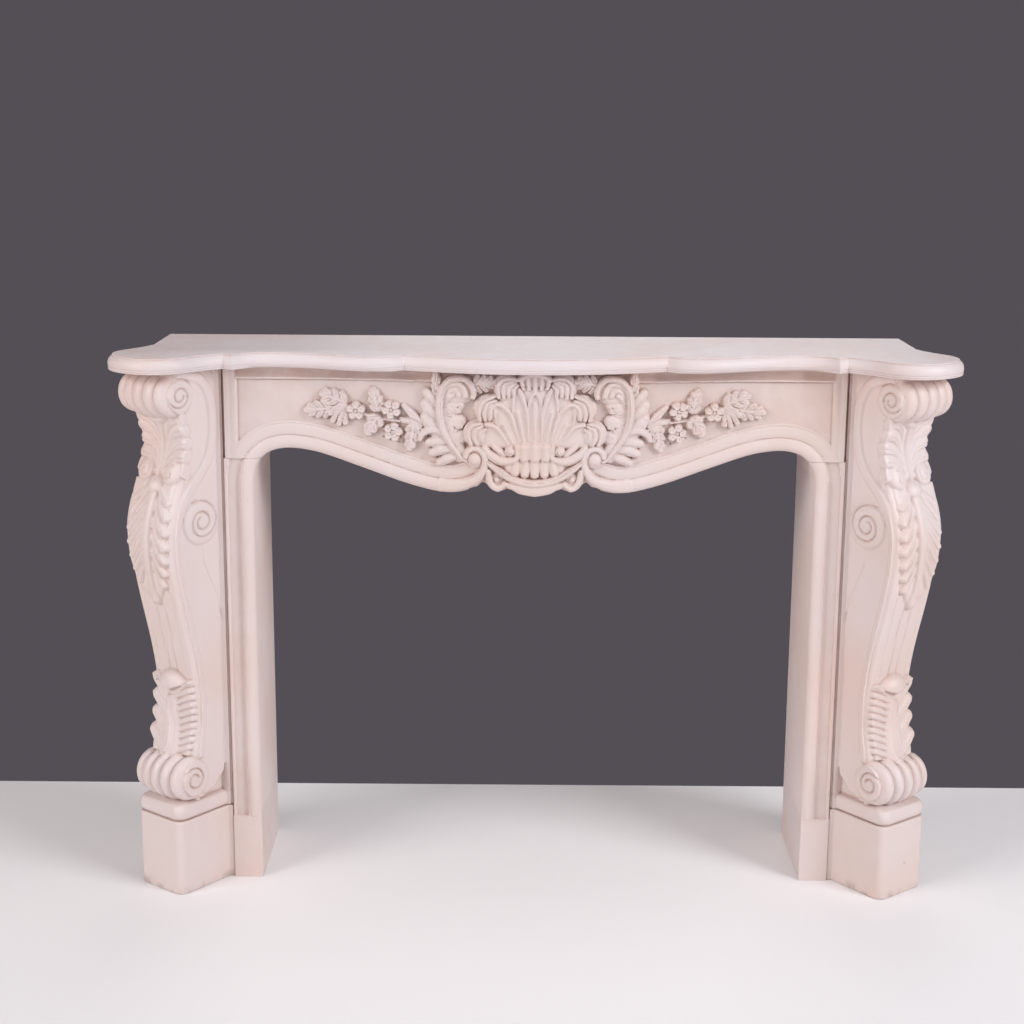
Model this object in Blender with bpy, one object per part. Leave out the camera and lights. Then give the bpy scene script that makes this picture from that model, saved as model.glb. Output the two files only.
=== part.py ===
"""A carved stone fireplace mantel: shelf, frieze, two jambs and two turned scroll legs on plinths.

Metres, +Z up. X runs along the wall, the back plane faces +Y and the carving faces -Y.
The origin is on the floor, in the middle of the mantel's width and depth.
"""
import math

import bmesh
import bpy
import numpy as np

# Overall
HEIGHT = 1.100
OPENING_HALF = 0.557
BODY_DEPTH = 0.250
JOINT_GAP = 0.0003

# Shelf
SHELF_THICKNESS = 0.030
SHELF_BACK_HALF = 0.768
EAR_HALF_WIDTH = 0.0935
EAR_FRONT = 0.184
EAR_CENTRE = 0.095
EAR_ROOT = 0.020
EAR_FLARE = 0.013
EAR_SQUARENESS = 2.15
NOTCH_INSET = 0.030
NOTCH_REACH = 0.053
HOLLOW_REACH = 0.019
CREST_REACH = 0.067
BREAK_REACH = 0.041
MIDDLE_REACH = 0.093

# Legs, in a frame that starts where plinth and jamb meet and is turned outward
LEG_TURN = math.radians(38.5)
LEG_WIDTH = 0.129
LEG_RECESS = 0.003
LEG_BODY_WIDTH = 0.1055
JAMB_WIDTH = 0.058
JAMB_CLEARANCE = 0.0015
PLINTH_HEIGHT = 0.156
PLINTH_LENGTH = 0.1335
PLINTH_CORNER = 0.018
CUSHION_HEIGHT = 0.034
CUSHION_BULGE = 0.009
ARRIS = 0.010

# Side profile of the console
SHAFT = 0.075
NECK_HEIGHT = 0.925
NECK = 0.078
BELLY_HEIGHT = 0.735
BELLY = 0.129
SHAFT_HEIGHT = 0.400
TOP_ROLL_CENTRE = (0.097, 1.022)
TOP_ROLL_RADIUS = 0.039
LOW_ROLL_CENTRE = (0.091, 0.238)
LOW_ROLL_RADIUS = 0.042
TOP_ROLL_OVERHANG = 0.011
LOW_ROLL_OVERHANG = 0.006
REEDS = 5
REED_SWELL = 0.009
REED_DEPTH = 0.006
SIDE_BAND_WIDTH = 0.022
SIDE_BAND_HEIGHT = 0.004
MIDDLE_VOLUTE_CENTRE = (0.050, 0.766)
MIDDLE_VOLUTE_RADIUS = 0.047
VOLUTE_HEIGHT = 0.006
TAIL_DEPTH = 0.012
PALMETTE_LOBES = 6
BELLY_LOBES = 6
LOWER_LEAF_LOBES = 5
LEAF_OVERHANG = 0.010

# Frieze
FRIEZE_HEIGHT = 0.245
STILE_HEIGHT = 0.183
CORNER_DROP = 0.042
FRIEZE_END_GAP = 0.004
FRIEZE_THICKNESS = 0.060
FRIEZE_BOW = 0.045
BOW_HALF = 0.460
STILE_WIDTH = 0.028
FIELD_DEPTH = 0.003
COVE_HEIGHT = 0.018
COVE_DEPTH = 0.009
ROLL_WIDTH = 0.027
ROLL_HEIGHT = 0.011
FILLET_WIDTH = 0.028
FOOT_HEIGHT = 0.133
CHANNEL_DEPTH = 0.006

# Carving on the frieze
SHELL_CENTRE = 0.912
SHELL_RADIUS = 0.126
SHELL_LOBES = 7
SHELL_STEP = math.radians(24.5)
RELIEF = 0.018
EYE_PLACE = (0.117, 0.898)
FLOWER_RADIUS = 0.018
FLOWERS = ((0.351, 0.986), (0.281, 0.990), (0.278, 0.946))

# The carving is drawn at these sizes and keeps its proportions when a piece grows or shrinks
DRAWN_FRIEZE_TOP = 1.070
DRAWN_FRIEZE_HEIGHT = 0.245
DRAWN_CONSOLE_FOOT = 0.156
DRAWN_CONSOLE_HEIGHT = 0.914
DRAWN_CONSOLE_WIDTH = 0.129

# Facets
FRIEZE_STEP = 0.0045
CONSOLE_STEP = 0.0050
FRIEZE_FACETS = 3100
CONSOLE_FACETS = 2580

JAMB_OUTER = OPENING_HALF + JAMB_WIDTH
LEG_INNER = JAMB_OUTER + JAMB_CLEARANCE
LEG_OUTER = LEG_INNER + LEG_BODY_WIDTH
TOP_OF_LEGS = HEIGHT - SHELF_THICKNESS
JOINT_HEIGHT = TOP_OF_LEGS - STILE_HEIGHT
LEG_START = np.array((LEG_INNER + 0.0085, -BODY_DEPTH + 0.002))
FORWARD = np.array((math.sin(LEG_TURN), -math.cos(LEG_TURN)))
ACROSS = np.array((math.cos(LEG_TURN), math.sin(LEG_TURN)))


def smooth(t):
    """0 below t = 0, 1 above t = 1, and an easy slope between."""
    t = np.clip(t, 0, 1)
    return t * t * (3 - 2 * t)


def curve_through(points, per_span):
    """A Catmull-Rom curve through the given points, which are kept."""
    p = [np.array(q, float) for q in points]
    p = [2 * p[0] - p[1]] + p + [2 * p[-1] - p[-2]]
    made = []
    for a, b, c, d in zip(p, p[1:], p[2:], p[3:]):
        for t in np.arange(per_span) / per_span:
            made.append(0.5 * (2 * b + (c - a) * t + (2 * a - 5 * b + 4 * c - d) * t ** 2
                               + (3 * b - a - 3 * c + d) * t ** 3))
    return np.array(made + [p[-2]])


def spiral(centre, start, end, start_deg, turns, count=40):
    """Points that wind from radius start to radius end about centre, anticlockwise for turns above 0."""
    t = np.linspace(0, 1, count)
    angle = math.radians(start_deg) + 2 * math.pi * turns * t
    radius = start * (end / start) ** t
    return np.column_stack((centre[0] + radius * np.cos(angle), centre[1] + radius * np.sin(angle)))


def to_path(x, z, path):
    """Distance of each point to a path, and how far along the path its nearest point is, from 0 to 1."""
    nearest = np.full(x.shape, 1e9)
    along = np.zeros(x.shape)
    lengths = np.hypot(*np.diff(path, axis=0).T)
    reached = np.concatenate(([0], np.cumsum(lengths)))
    for a, b, length, before in zip(path, path[1:], lengths, reached):
        ux, uz = (b - a) / length
        t = np.clip((x - a[0]) * ux + (z - a[1]) * uz, 0, length)
        d = np.hypot(x - a[0] - t * ux, z - a[1] - t * uz)
        closer = d < nearest
        nearest = np.where(closer, d, nearest)
        along = np.where(closer, (before + t) / reached[-1], along)
    return nearest, along


def round_top(share):
    """Height of a half round at a share of its half width."""
    return np.sqrt(np.clip(1 - share ** 2, 0, 1))


class Relief:
    """Heights over a grid of places, to which carved forms are added by taking the higher surface."""

    def __init__(self, x, z, height):
        self.x, self.z, self.height = x, z, height

    def near(self, low, high):
        return ((self.x > low[0]) & (self.x < high[0]) & (self.z > low[1]) & (self.z < high[1]))

    def raise_to(self, mask, height):
        self.height[mask] = np.maximum(self.height[mask], height)

    def ridge(self, path, half_width, height, end_width=None, end_height=None):
        """A rounded bar along a path, which may change width and height on its way."""
        path = np.array(path, float)
        end_width = half_width if end_width is None else end_width
        end_height = height if end_height is None else end_height
        reach = max(half_width, end_width)
        mask = self.near(path.min(0) - reach, path.max(0) + reach)
        if not mask.any():
            return
        d, t = to_path(self.x[mask], self.z[mask], path)
        width = half_width + (end_width - half_width) * t
        top = height + (end_height - height) * t
        self.raise_to(mask, np.where(d < width, top * round_top(d / width), -1))

    def leaf(self, base, tip, half_width, height, lobes=3, bend=0.0):
        """A leaf with scalloped sides, a sunk midrib and slanting folds. bend bows its midrib sideways."""
        base, tip = np.array(base, float), np.array(tip, float)
        length = math.hypot(*(tip - base))
        u = (tip - base) / length
        reach = half_width + abs(bend) * length
        mask = self.near(np.minimum(base, tip) - reach, np.maximum(base, tip) + reach)
        if not mask.any():
            return
        x, z = self.x[mask] - base[0], self.z[mask] - base[1]
        t = (x * u[0] + z * u[1]) / length
        n = z * u[0] - x * u[1] - bend * length * 4 * t * (1 - t)
        inside = np.clip(t, 0, 1)
        side = np.abs(n) / half_width
        phase = lobes * (inside - 0.35 * side * (1 - inside))
        scallop = 0.80 + 0.20 * np.abs(np.sin(math.pi * phase))
        width = half_width * np.sin(math.pi * inside ** 0.75) ** 0.7 * scallop + 1e-6
        share = np.abs(n) / width
        fold = 1 - 0.22 * (1 - np.abs(np.sin(math.pi * phase))) * np.clip(3 * share, 0, 1)
        rib = 1 - 0.35 * np.exp(-(n / (0.13 * half_width)) ** 2) * (1 - inside)
        top = height * (0.25 + 0.75 * (1 - np.minimum(share, 1) ** 2)) * fold * rib
        self.raise_to(mask, np.where((t > 0) & (t < 1) & (share < 1), top, -1))

    def flower(self, centre, radius, height, petals=5):
        """Round petals about a button."""
        mask = self.near(np.array(centre) - radius, np.array(centre) + radius)
        if not mask.any():
            return
        x, z = self.x[mask] - centre[0], self.z[mask] - centre[1]
        r = np.hypot(x, z)
        lobe = np.abs(np.sin(petals / 2 * np.arctan2(z, x)))
        edge = radius * (0.70 + 0.30 * lobe ** 0.7)
        cup = height * (0.55 + 0.30 * smooth(r / edge) * lobe) * round_top((r / edge) ** 3)
        button = height * 0.95 * round_top(r / (0.34 * radius))
        self.raise_to(mask, np.where(r < edge, np.maximum(cup, button), -1))

    def bump(self, centre, radii, height, turn=0.0):
        """A rounded boss, longer one way than the other."""
        reach = max(radii)
        mask = self.near(np.array(centre) - reach, np.array(centre) + reach)
        if not mask.any():
            return
        x, z = self.x[mask] - centre[0], self.z[mask] - centre[1]
        u = (x * math.cos(turn) + z * math.sin(turn)) / radii[0]
        v = (z * math.cos(turn) - x * math.sin(turn)) / radii[1]
        self.raise_to(mask, np.where(u * u + v * v < 1, height * round_top(np.hypot(u, v)), -1))

    def groove(self, path, half_width, depth):
        """A cut along a path."""
        path = np.array(path, float)
        mask = self.near(path.min(0) - half_width, path.max(0) + half_width)
        if not mask.any():
            return
        d, _ = to_path(self.x[mask], self.z[mask], path)
        self.height[mask] -= depth * round_top(np.clip(d / half_width, 0, 1))


def arch_curve():
    """Half of the opening's edge, from the jamb up round the corner and along to the cartouche."""
    w = OPENING_HALF
    corner = [(w, JOINT_HEIGHT - CORNER_DROP), (w - 0.005, JOINT_HEIGHT - 0.4 * CORNER_DROP),
              (w - 0.016, JOINT_HEIGHT), (w - 0.034, JOINT_HEIGHT + 0.014), (w - 0.062, JOINT_HEIGHT + 0.021),
              (w - 0.095, JOINT_HEIGHT + 0.020)]
    shares = ((0.75, 0.702), (0.61, 0.808), (0.47, 0.914), (0.36, 0.976), (0.29, 0.988),
              (0.24, 0.967), (0.20, 0.931))
    sweep = [(across * w, TOP_OF_LEGS - down * FRIEZE_HEIGHT) for across, down in shares]
    return curve_through(corner + sweep, 6)


def drawn_on_frieze(x, z):
    """Places on the frieze, in the coordinates that its carving is drawn in."""
    scale = DRAWN_FRIEZE_HEIGHT / FRIEZE_HEIGHT
    return x * scale, DRAWN_FRIEZE_TOP - (TOP_OF_LEGS - z) * scale


def lower_edge(x):
    """Height of the frieze's underside at each x: joint, arch and the drops of the cartouche."""
    arch = arch_curve()[::-1]
    height = np.interp(np.abs(x), arch[:, 0], arch[:, 1])
    eye = EYE_PLACE[0]
    drops = curve_through([(0, 0.825), (0.030, 0.8305), (0.047, 0.839), (0.069, 0.8335), (0.084, 0.839),
                           (0.100, 0.851), (0.112, 0.8425), (eye + 0.012, 0.8375)], 4)
    scale = FRIEZE_HEIGHT / DRAWN_FRIEZE_HEIGHT
    drop_x = drops[:, 0] * scale
    drop_z = TOP_OF_LEGS - (DRAWN_FRIEZE_TOP - drops[:, 1]) * scale
    height = np.where(np.abs(x) < drop_x[-1], np.interp(np.abs(x), drop_x, drop_z), height)
    return np.where(np.abs(x) > OPENING_HALF - 0.016, JOINT_HEIGHT, np.maximum(height, drop_z[0]))


def bow(x):
    """How far the frieze's middle stands forward of its ends."""
    return FRIEZE_BOW * smooth((BOW_HALF - np.abs(x)) / BOW_HALF)


def moulding(d):
    """Height of the opening's moulding at a distance from its edge: a roll, a quirk and a flat fillet."""
    middle = ROLL_WIDTH / 2
    roll = ROLL_HEIGHT * (round_top((d - middle) / middle) - 0.55)
    fillet = 0.001 + 0.002 * np.sin(math.pi * np.clip((d - ROLL_WIDTH) / FILLET_WIDTH, 0, 1))
    flat = np.where(d < ROLL_WIDTH + FILLET_WIDTH, fillet, -FIELD_DEPTH)
    return np.where(d < ROLL_WIDTH, roll, flat)


def carve_cartouche(relief):
    """The shell between two C-scrolls, over a basket and a double crescent."""
    base = np.array((0, SHELL_CENTRE))

    def polar(angle, radius):
        return base + radius * np.array((math.sin(angle), math.cos(angle)))

    half = (SHELL_LOBES - 1) // 2
    for k in range(-half, half + 1):
        angle = k * SHELL_STEP
        crown = 0.020 if k == 0 else 0.016
        for side in (-1, 1):
            relief.bump(polar(angle + side * 0.055, SHELL_RADIUS), (crown, 0.011), RELIEF, math.pi / 2 - angle)
        relief.bump(polar(angle, SHELL_RADIUS + 0.008), (0.016, 0.016), RELIEF * 1.1)
        relief.ridge([polar(angle, 0.030), polar(angle, 0.090)], 0.0045, RELIEF * 0.6)
    for k in range(-half, half):
        angle = (k + 0.5) * SHELL_STEP
        relief.ridge([polar(angle, 0.025), polar(angle, 0.118)], 0.0035, RELIEF * 0.55, 0.0065, RELIEF * 0.95)

    barrels = 5
    for k in range(barrels):
        x = (k - (barrels - 1) / 2) * 0.0165
        relief.ridge([(x, 0.925), (x, 0.900)], 0.0085, RELIEF * 1.15)
        relief.ridge([(x * 1.25, 0.892), (x * 1.45, 0.872 + 0.9 * x * x * 8)], 0.0085, RELIEF * 0.9)
    for side in (-1, 1):
        relief.ridge(spiral((side * 0.048, 0.912), 0.012, 0.003, 90, side * -1.2, 16), 0.0055, RELIEF * 1.2)
        stem = [(0.056, 0.902), (0.070, 0.893), (0.085, 0.903), (0.092, 0.922)]
        relief.ridge([(side * x, z) for x, z in curve_through(stem, 4)], 0.007, RELIEF * 0.9)
        ring = spiral((side * 0.073, 0.8545), 0.0125, 0.0125, 0, 1, 18)
        relief.ridge(ring, 0.0065, RELIEF * 0.8)
        relief.ridge([(side * 0.073, 0.845), (side * 0.069, 0.8375)], 0.0075, RELIEF * 0.7)
    crescent = curve_through([(-0.094, 0.886), (-0.058, 0.861), (0, 0.850), (0.058, 0.861), (0.094, 0.886)], 6)
    relief.ridge(crescent, 0.008, RELIEF * 0.95)
    relief.ridge([(x * 0.62, z - 0.014) for x, z in crescent], 0.009, RELIEF * 0.85)

    stem = [(0.136, 0.898), (0.168, 0.929), (0.188, 0.962), (0.193, 0.995), (0.189, 1.019), (0.174, 1.045),
            (0.151, 1.057), (0.131, 1.054), (0.119, 1.038), (0.121, 1.022), (0.132, 1.017)]
    outer = [((0.196, 1.035), (0.190, 1.066), 0.011), ((0.198, 1.005), (0.213, 1.035), 0.011),
             ((0.200, 0.985), (0.221, 1.006), 0.012), ((0.199, 0.965), (0.221, 0.979), 0.012),
             ((0.190, 0.945), (0.232, 0.934), 0.014), ((0.168, 0.922), (0.215, 0.897), 0.013)]
    inner = [((0.185, 1.010), (0.142, 1.000), 0.014), ((0.187, 0.985), (0.150, 0.962), 0.013),
             ((0.181, 0.960), (0.152, 0.928), 0.012)]
    for side in (-1, 1):
        for a, b, width in outer + inner:
            relief.leaf((side * a[0], a[1]), (side * b[0], b[1]), width, RELIEF * 0.75, 3, 0.08 * side)
        relief.leaf((side * 0.120, 1.048), (side * 0.070, 1.050), 0.015, RELIEF * 0.75, 4)
        path = np.array([(side * x, z) for x, z in curve_through(stem, 5)])
        relief.ridge(path, 0.005, RELIEF * 0.9, 0.008, RELIEF * 1.2)


def carve_spray(relief, side):
    """Three flowers among leaves, on one side of the cartouche."""
    leaves = [((0.352, 0.990), (0.401, 1.006), 0.014, 4), ((0.372, 0.984), (0.431, 0.988), 0.017, 4),
              ((0.360, 0.985), (0.390, 0.953), 0.017, 4), ((0.306, 0.983), (0.319, 1.030), 0.014, 3),
              ((0.300, 0.978), (0.331, 0.948), 0.016, 4), ((0.222, 0.962), (0.262, 1.003), 0.015, 3),
              ((0.246, 0.958), (0.251, 0.908), 0.013, 3), ((0.290, 0.965), (0.310, 0.930), 0.012, 3)]
    for a, b, width, lobes in leaves:
        relief.leaf((side * a[0], a[1]), (side * b[0], b[1]), width, RELIEF * 0.65, lobes, -0.08 * side)
    for x, z in FLOWERS:
        relief.flower((side * x, z), FLOWER_RADIUS, RELIEF * 0.85)


def frieze_relief(x, z):
    """Forward height of the frieze's face over its bowed plane, on a grid."""
    d, _ = to_path(np.abs(x), z, arch_curve())
    inner_end = JAMB_OUTER - FRIEZE_END_GAP - STILE_WIDTH
    on_stile = np.abs(x) > inner_end
    height = moulding(d)
    cove = COVE_DEPTH * (1 - round_top(1 - np.clip((z - TOP_OF_LEGS + COVE_HEIGHT) / COVE_HEIGHT, 0, 1)))
    cove_face = np.where(z > TOP_OF_LEGS - COVE_HEIGHT, 0.001 - cove, height)
    height = np.where(on_stile, np.where(d > ROLL_WIDTH, 0.0015, height), cove_face)
    drawn_x, drawn_z = drawn_on_frieze(x, z)
    in_cartouche = (np.abs(drawn_x) < EYE_PLACE[0]) & (drawn_z < EYE_PLACE[1])
    height = np.where(in_cartouche, 0.002, height)
    relief = Relief(drawn_x, drawn_z, height)
    carve_cartouche(relief)
    for side in (-1, 1):
        carve_spray(relief, side)
        band = curve_through([(0.185, 0.8425), (0.160, 0.8415), (0.137, 0.846), (0.114, 0.858), (0.098, 0.878),
                              (0.096, 0.900), (0.107, 0.915), (0.120, 0.917), (0.131, 0.908)], 5)
        relief.ridge([(side * px, pz) for px, pz in band], 0.0135, RELIEF * 0.5, 0.0065, RELIEF * 0.95)
        relief.bump((side * EYE_PLACE[0], EYE_PLACE[1]), (0.014, 0.014), RELIEF)
    return relief.height


def closed_mesh(name, rings):
    """A solid through rings of points, with both ends filled and the faces pointing out."""
    count = len(rings[0])
    points = [tuple(p) for ring in rings for p in ring]
    faces = [tuple(range(count)), tuple(range(len(points) - count, len(points)))]
    for r in range(len(rings) - 1):
        for i in range(count):
            j = (i + 1) % count
            faces.append((r * count + i, r * count + j, (r + 1) * count + j, (r + 1) * count + i))
    mesh = bpy.data.meshes.new(name)
    mesh.from_pydata(points, [], faces)
    shape = bmesh.new()
    shape.from_mesh(mesh)
    bmesh.ops.recalc_face_normals(shape, faces=shape.faces)
    shape.to_mesh(mesh)
    shape.free()
    return mesh


def stone(name, colour, roughness):
    """The pale cast stone of one sub-part."""
    material = bpy.data.materials.new(name)
    material.use_nodes = True
    shader = material.node_tree.nodes["Principled BSDF"]
    shader.inputs["Base Color"].default_value = (*colour, 1)
    shader.inputs["Roughness"].default_value = roughness
    shader.inputs["Metallic"].default_value = 0.0
    return material


def place(name, mesh, back, facets=None, crease=40):
    """Puts a mesh in the scene as a named part, with its back on the mantel's back plane."""
    mesh.materials.append(stone(name + "_stone", (0.80, 0.68, 0.65), 0.55))
    mesh.shade_smooth()
    mesh.set_sharp_from_angle(angle=math.radians(crease))
    part = bpy.data.objects.new(name, mesh)
    part.location = (0, back, 0)
    bpy.context.scene.collection.objects.link(part)
    if facets:
        mesh.calc_loop_triangles()
        fewer = part.modifiers.new("fewer facets", "DECIMATE")
        fewer.ratio = facets / len(mesh.loop_triangles)
    return part


def leg_point(s, w):
    """Plan point of the right leg, s forward and w across."""
    return LEG_START + s * FORWARD + w * ACROSS


def ear_outline():
    """The shelf's ear in plan, from its notch round the front to its outer root."""
    steps = 6
    sides = [EAR_ROOT + (EAR_CENTRE - EAR_ROOT) * k / 3 for k in range(3)]
    half = [(s, EAR_HALF_WIDTH + EAR_FLARE * ((EAR_CENTRE - s) / (EAR_CENTRE - EAR_ROOT)) ** 2) for s in sides]
    for k in range(steps):
        angle = math.pi / 2 * k / steps
        power = 2 / EAR_SQUARENESS
        half.append((EAR_CENTRE + (EAR_FRONT - EAR_CENTRE) * math.sin(angle) ** power,
                     EAR_HALF_WIDTH * math.cos(angle) ** power))
    centre = LEG_WIDTH / 2
    inner = [leg_point(s, centre - w) for s, w in half]
    outer = [leg_point(s, centre + w) for s, w in reversed(half)]
    return inner + [leg_point(EAR_FRONT, centre)] + outer


def shelf_outline():
    """The shelf's plan, anticlockwise from the back right corner's neighbour on the back plane."""
    notch = LEG_INNER - NOTCH_INSET
    break_x = 0.4345 * notch
    front = [(notch, NOTCH_REACH), (0.945 * notch, NOTCH_REACH / 2), (0.87 * notch, HOLLOW_REACH),
             (0.75 * notch, HOLLOW_REACH + 0.011), (0.64 * notch, 0.78 * CREST_REACH),
             (0.55 * notch, CREST_REACH), (0.48 * notch, 0.90 * CREST_REACH), (break_x, BREAK_REACH)]
    side_front = [(x, -BODY_DEPTH - reach) for x, reach in curve_through(front, 2)]
    steps = 6
    middle = [(break_x * (1 - k / steps), -BODY_DEPTH - MIDDLE_REACH
               + (MIDDLE_REACH - BREAK_REACH) * (1 - k / steps) ** 2) for k in range(1, steps + 1)]
    half = [(0, 0), (SHELF_BACK_HALF, 0)] + [tuple(p) for p in reversed(ear_outline())] + side_front + middle
    right = half[1:-1]
    return [half[-1]] + [(x, y) for x, y in reversed(right)] + [(-x, y) for x, y in right]


def offset_outline(points, distance):
    """Moves each corner of an outline inward by distance, except along the back."""
    made = []
    count = len(points)
    for i, (x, y) in enumerate(points):
        a, b = np.array(points[i - 1]), np.array(points[(i + 1) % count])
        here = np.array((x, y))
        before, after = here - a, b - here
        normals = [np.array((-v[1], v[0])) / np.hypot(*v) for v in (before, after)]
        mean = normals[0] + normals[1]
        mean = mean / max(mean @ mean / 2, 0.6)
        if y > -1e-9:
            made.append((x - math.copysign(distance, x), y))
        else:
            made.append(tuple(here + mean * distance))
    return made


def make_shelf(back):
    """The shelf, its edge upright below and rounded above, up to a small step round its top."""
    outline = shelf_outline()
    profile = [(0.003, 0), (0, 0.06), (0, 0.50), (0.002, 0.72), (0.0065, 0.89), (0.0075, 0.97), (0.009, 1)]
    rings = []
    for inset, height in profile:
        z = TOP_OF_LEGS + height * SHELF_THICKNESS
        rings.append([(x, y, z) for x, y in offset_outline(outline, inset)])
    return place("mantel_shelf", closed_mesh("mantel_shelf", rings), back, crease=25)


def make_frieze(back):
    """The bowed panel with its carving, as columns from end to end."""
    end = JAMB_OUTER - FRIEZE_END_GAP
    columns = np.linspace(-end, end, round(2 * end / FRIEZE_STEP))
    rows = round(FRIEZE_HEIGHT / FRIEZE_STEP)
    low = lower_edge(columns) + JOINT_GAP
    share = np.linspace(0, 1, rows)
    x = np.repeat(columns[:, None], rows, 1)
    z = low[:, None] + (TOP_OF_LEGS - JOINT_GAP - low[:, None]) * share[None, :]
    front = -BODY_DEPTH - bow(x) - frieze_relief(x, z)
    rear = -BODY_DEPTH + FRIEZE_THICKNESS
    rings = []
    for i in range(len(columns)):
        ring = [(x[i, k], front[i, k], z[i, k]) for k in range(rows)]
        rings.append(ring + [(columns[i], rear, z[i, -1]), (columns[i], rear, z[i, 0])])
    return place("frieze", closed_mesh("frieze", rings), back, FRIEZE_FACETS)


def make_jamb(name, side, back):
    """Reveal, roll and channel above a plain foot block, with a top that follows the arch's corner."""
    corner = arch_curve()[:13]
    outer_edge = JAMB_WIDTH - 0.002
    across = np.concatenate((np.linspace(0, ROLL_WIDTH, 7), np.linspace(ROLL_WIDTH, outer_edge, 6)[1:]))
    hollow = CHANNEL_DEPTH * np.sin(math.pi * np.clip((across - ROLL_WIDTH) / (outer_edge - ROLL_WIDTH), 0, 1))
    moulded = np.where(across < ROLL_WIDTH, moulding(across), -hollow)
    plain = np.full(len(across), -0.001)
    ledge = 0.002
    rise = np.linspace(corner[0, 1], JOINT_HEIGHT - JOINT_GAP, 4)
    levels = [(0, plain), (FOOT_HEIGHT, plain), (FOOT_HEIGHT + ledge, moulded)] + [(z, moulded) for z in rise]
    rings = []
    for z, face in levels:
        inner = np.interp(z, corner[:, 1], corner[:, 0])
        ring = [(inner, 0)] + [(inner + d, -BODY_DEPTH - f) for d, f in zip(across, face)]
        ring += [(JAMB_OUTER, -BODY_DEPTH + ledge), (JAMB_OUTER, 0)]
        rings.append([(side * px, py, z) for px, py in ring])
    return place(name, closed_mesh(name, rings), back)


def plinth_ring(inset):
    """Plan of the plinth, its front corners rounded, moved in by inset."""
    corner = PLINTH_CORNER
    ring = [np.array((LEG_INNER + inset, 0))]
    ring.append(leg_point((LEG_INNER - LEG_START[0]) / FORWARD[0], inset))
    radius = corner - inset
    for centre_w, first in ((corner, -90), (LEG_WIDTH - corner, 0)):
        for k in range(5):
            angle = math.radians(first + 22.5 * k)
            ring.append(leg_point(PLINTH_LENGTH - corner + radius * math.cos(angle),
                                  centre_w + radius * math.sin(angle)))
    outer = leg_point(0, LEG_WIDTH - inset)
    back_s = (LEG_OUTER - outer[0]) / FORWARD[0]
    ring.append(outer + back_s * FORWARD)
    ring.append(np.array((LEG_OUTER, 0)))
    return ring


def make_plinth(name, side, back):
    """A plain block with a small bevel round its foot and top."""
    bevel = 0.0015
    levels = [(0, bevel), (bevel, 0), (PLINTH_HEIGHT - bevel, 0), (PLINTH_HEIGHT - JOINT_GAP, bevel)]
    rings = [[(side * p[0], p[1], z) for p in plinth_ring(inset)] for z, inset in levels]
    return place(name, closed_mesh(name, rings), back)


def console_profile(z):
    """Forward reach of the console's plain face at each height."""
    upper = NECK + (BELLY - NECK) * smooth((NECK_HEIGHT + 0.01 - z) / (NECK_HEIGHT + 0.01 - BELLY_HEIGHT))
    lower = SHAFT + (BELLY - SHAFT) * (1 - smooth((BELLY_HEIGHT - z) / (BELLY_HEIGHT - SHAFT_HEIGHT)))
    reach = np.where(z > BELLY_HEIGHT, upper, lower)
    flare = 0.012 * smooth((z - NECK_HEIGHT) / 0.06)
    foot = 0.010 * smooth((0.36 - z) / 0.08)
    return reach + flare + foot


def roll_reach(z, w, centre, radius):
    """Forward reach of a reeded roll, swelling towards its middle."""
    t = (w / DRAWN_CONSOLE_WIDTH - 0.5) * 2
    reed = np.abs(np.sin(math.pi * REEDS * (t + 1) / 2)) ** 0.6
    r = radius + REED_SWELL * (1 - t ** 2) - REED_DEPTH * (1 - reed)
    inside = np.clip(r ** 2 - (z - centre[1]) ** 2, 0, None)
    return np.where(inside > 0, centre[0] + np.sqrt(inside), 0)


def carve_console_front(relief):
    """Palmette, pendant leaf, lower leaf and the channel between them, over (w, z)."""
    middle = DRAWN_CONSOLE_WIDTH / 2

    def pair(root, tip, half_width, height, bend=0.0, overhang=0.0):
        for side, reach in ((-1, tip[0]), (1, tip[0] + overhang)):
            relief.leaf((middle + side * root[0], root[1]), (middle + side * reach, tip[1]),
                        half_width, height, 1, bend * side)

    for k in range(PALMETTE_LOBES):
        z = 0.970 - 0.110 * k / PALMETTE_LOBES
        reach = 0.060 - 0.0012 * (k - 2) ** 2
        pair((0.004, z - 0.030), (reach, z - 0.002), 0.0125, 0.011, -0.1)
    relief.leaf((middle, 0.860), (middle, 0.992), 0.016, 0.011, 1)
    for offset in (-0.026, 0, 0.026):
        relief.bump((middle + offset, 0.853), (0.016, 0.013), 0.014)
    relief.ridge([(middle - 0.045, 0.976), (middle + 0.045, 0.976)], 0.009, 0.011)

    for k in range(BELLY_LOBES):
        t = k / (BELLY_LOBES - 1)
        z = 0.820 - 0.172 * t
        reach = 0.050 - 0.018 * t
        pair((0.006, z + 0.014), (reach, z - 0.022), 0.0145 - 0.003 * t, 0.010, -0.12, LEAF_OVERHANG)
    relief.ridge([(middle, 0.840), (middle, 0.615)], 0.008, 0.009, 0.004, 0.006)
    relief.leaf((middle, 0.655), (middle, 0.598), 0.016, 0.008, 1)

    for side in (-1, 1):
        relief.groove([(middle + side * 0.016, 0.600), (middle + side * 0.013, 0.455)], 0.0035, 0.003)

    for k in range(LOWER_LEAF_LOBES):
        t = k / LOWER_LEAF_LOBES
        z = 0.440 - 0.150 * t
        pair((0.004, z - 0.022), (0.048, z - 0.002), 0.0150, 0.012 + 0.014 * t, 0.0, LEAF_OVERHANG)
    relief.ridge([(middle, 0.290), (middle, 0.440)], 0.010, 0.024, 0.012, 0.016)
    relief.ridge([(middle - 0.020, 0.445), (middle + 0.020, 0.445)], 0.012, 0.017)


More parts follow.
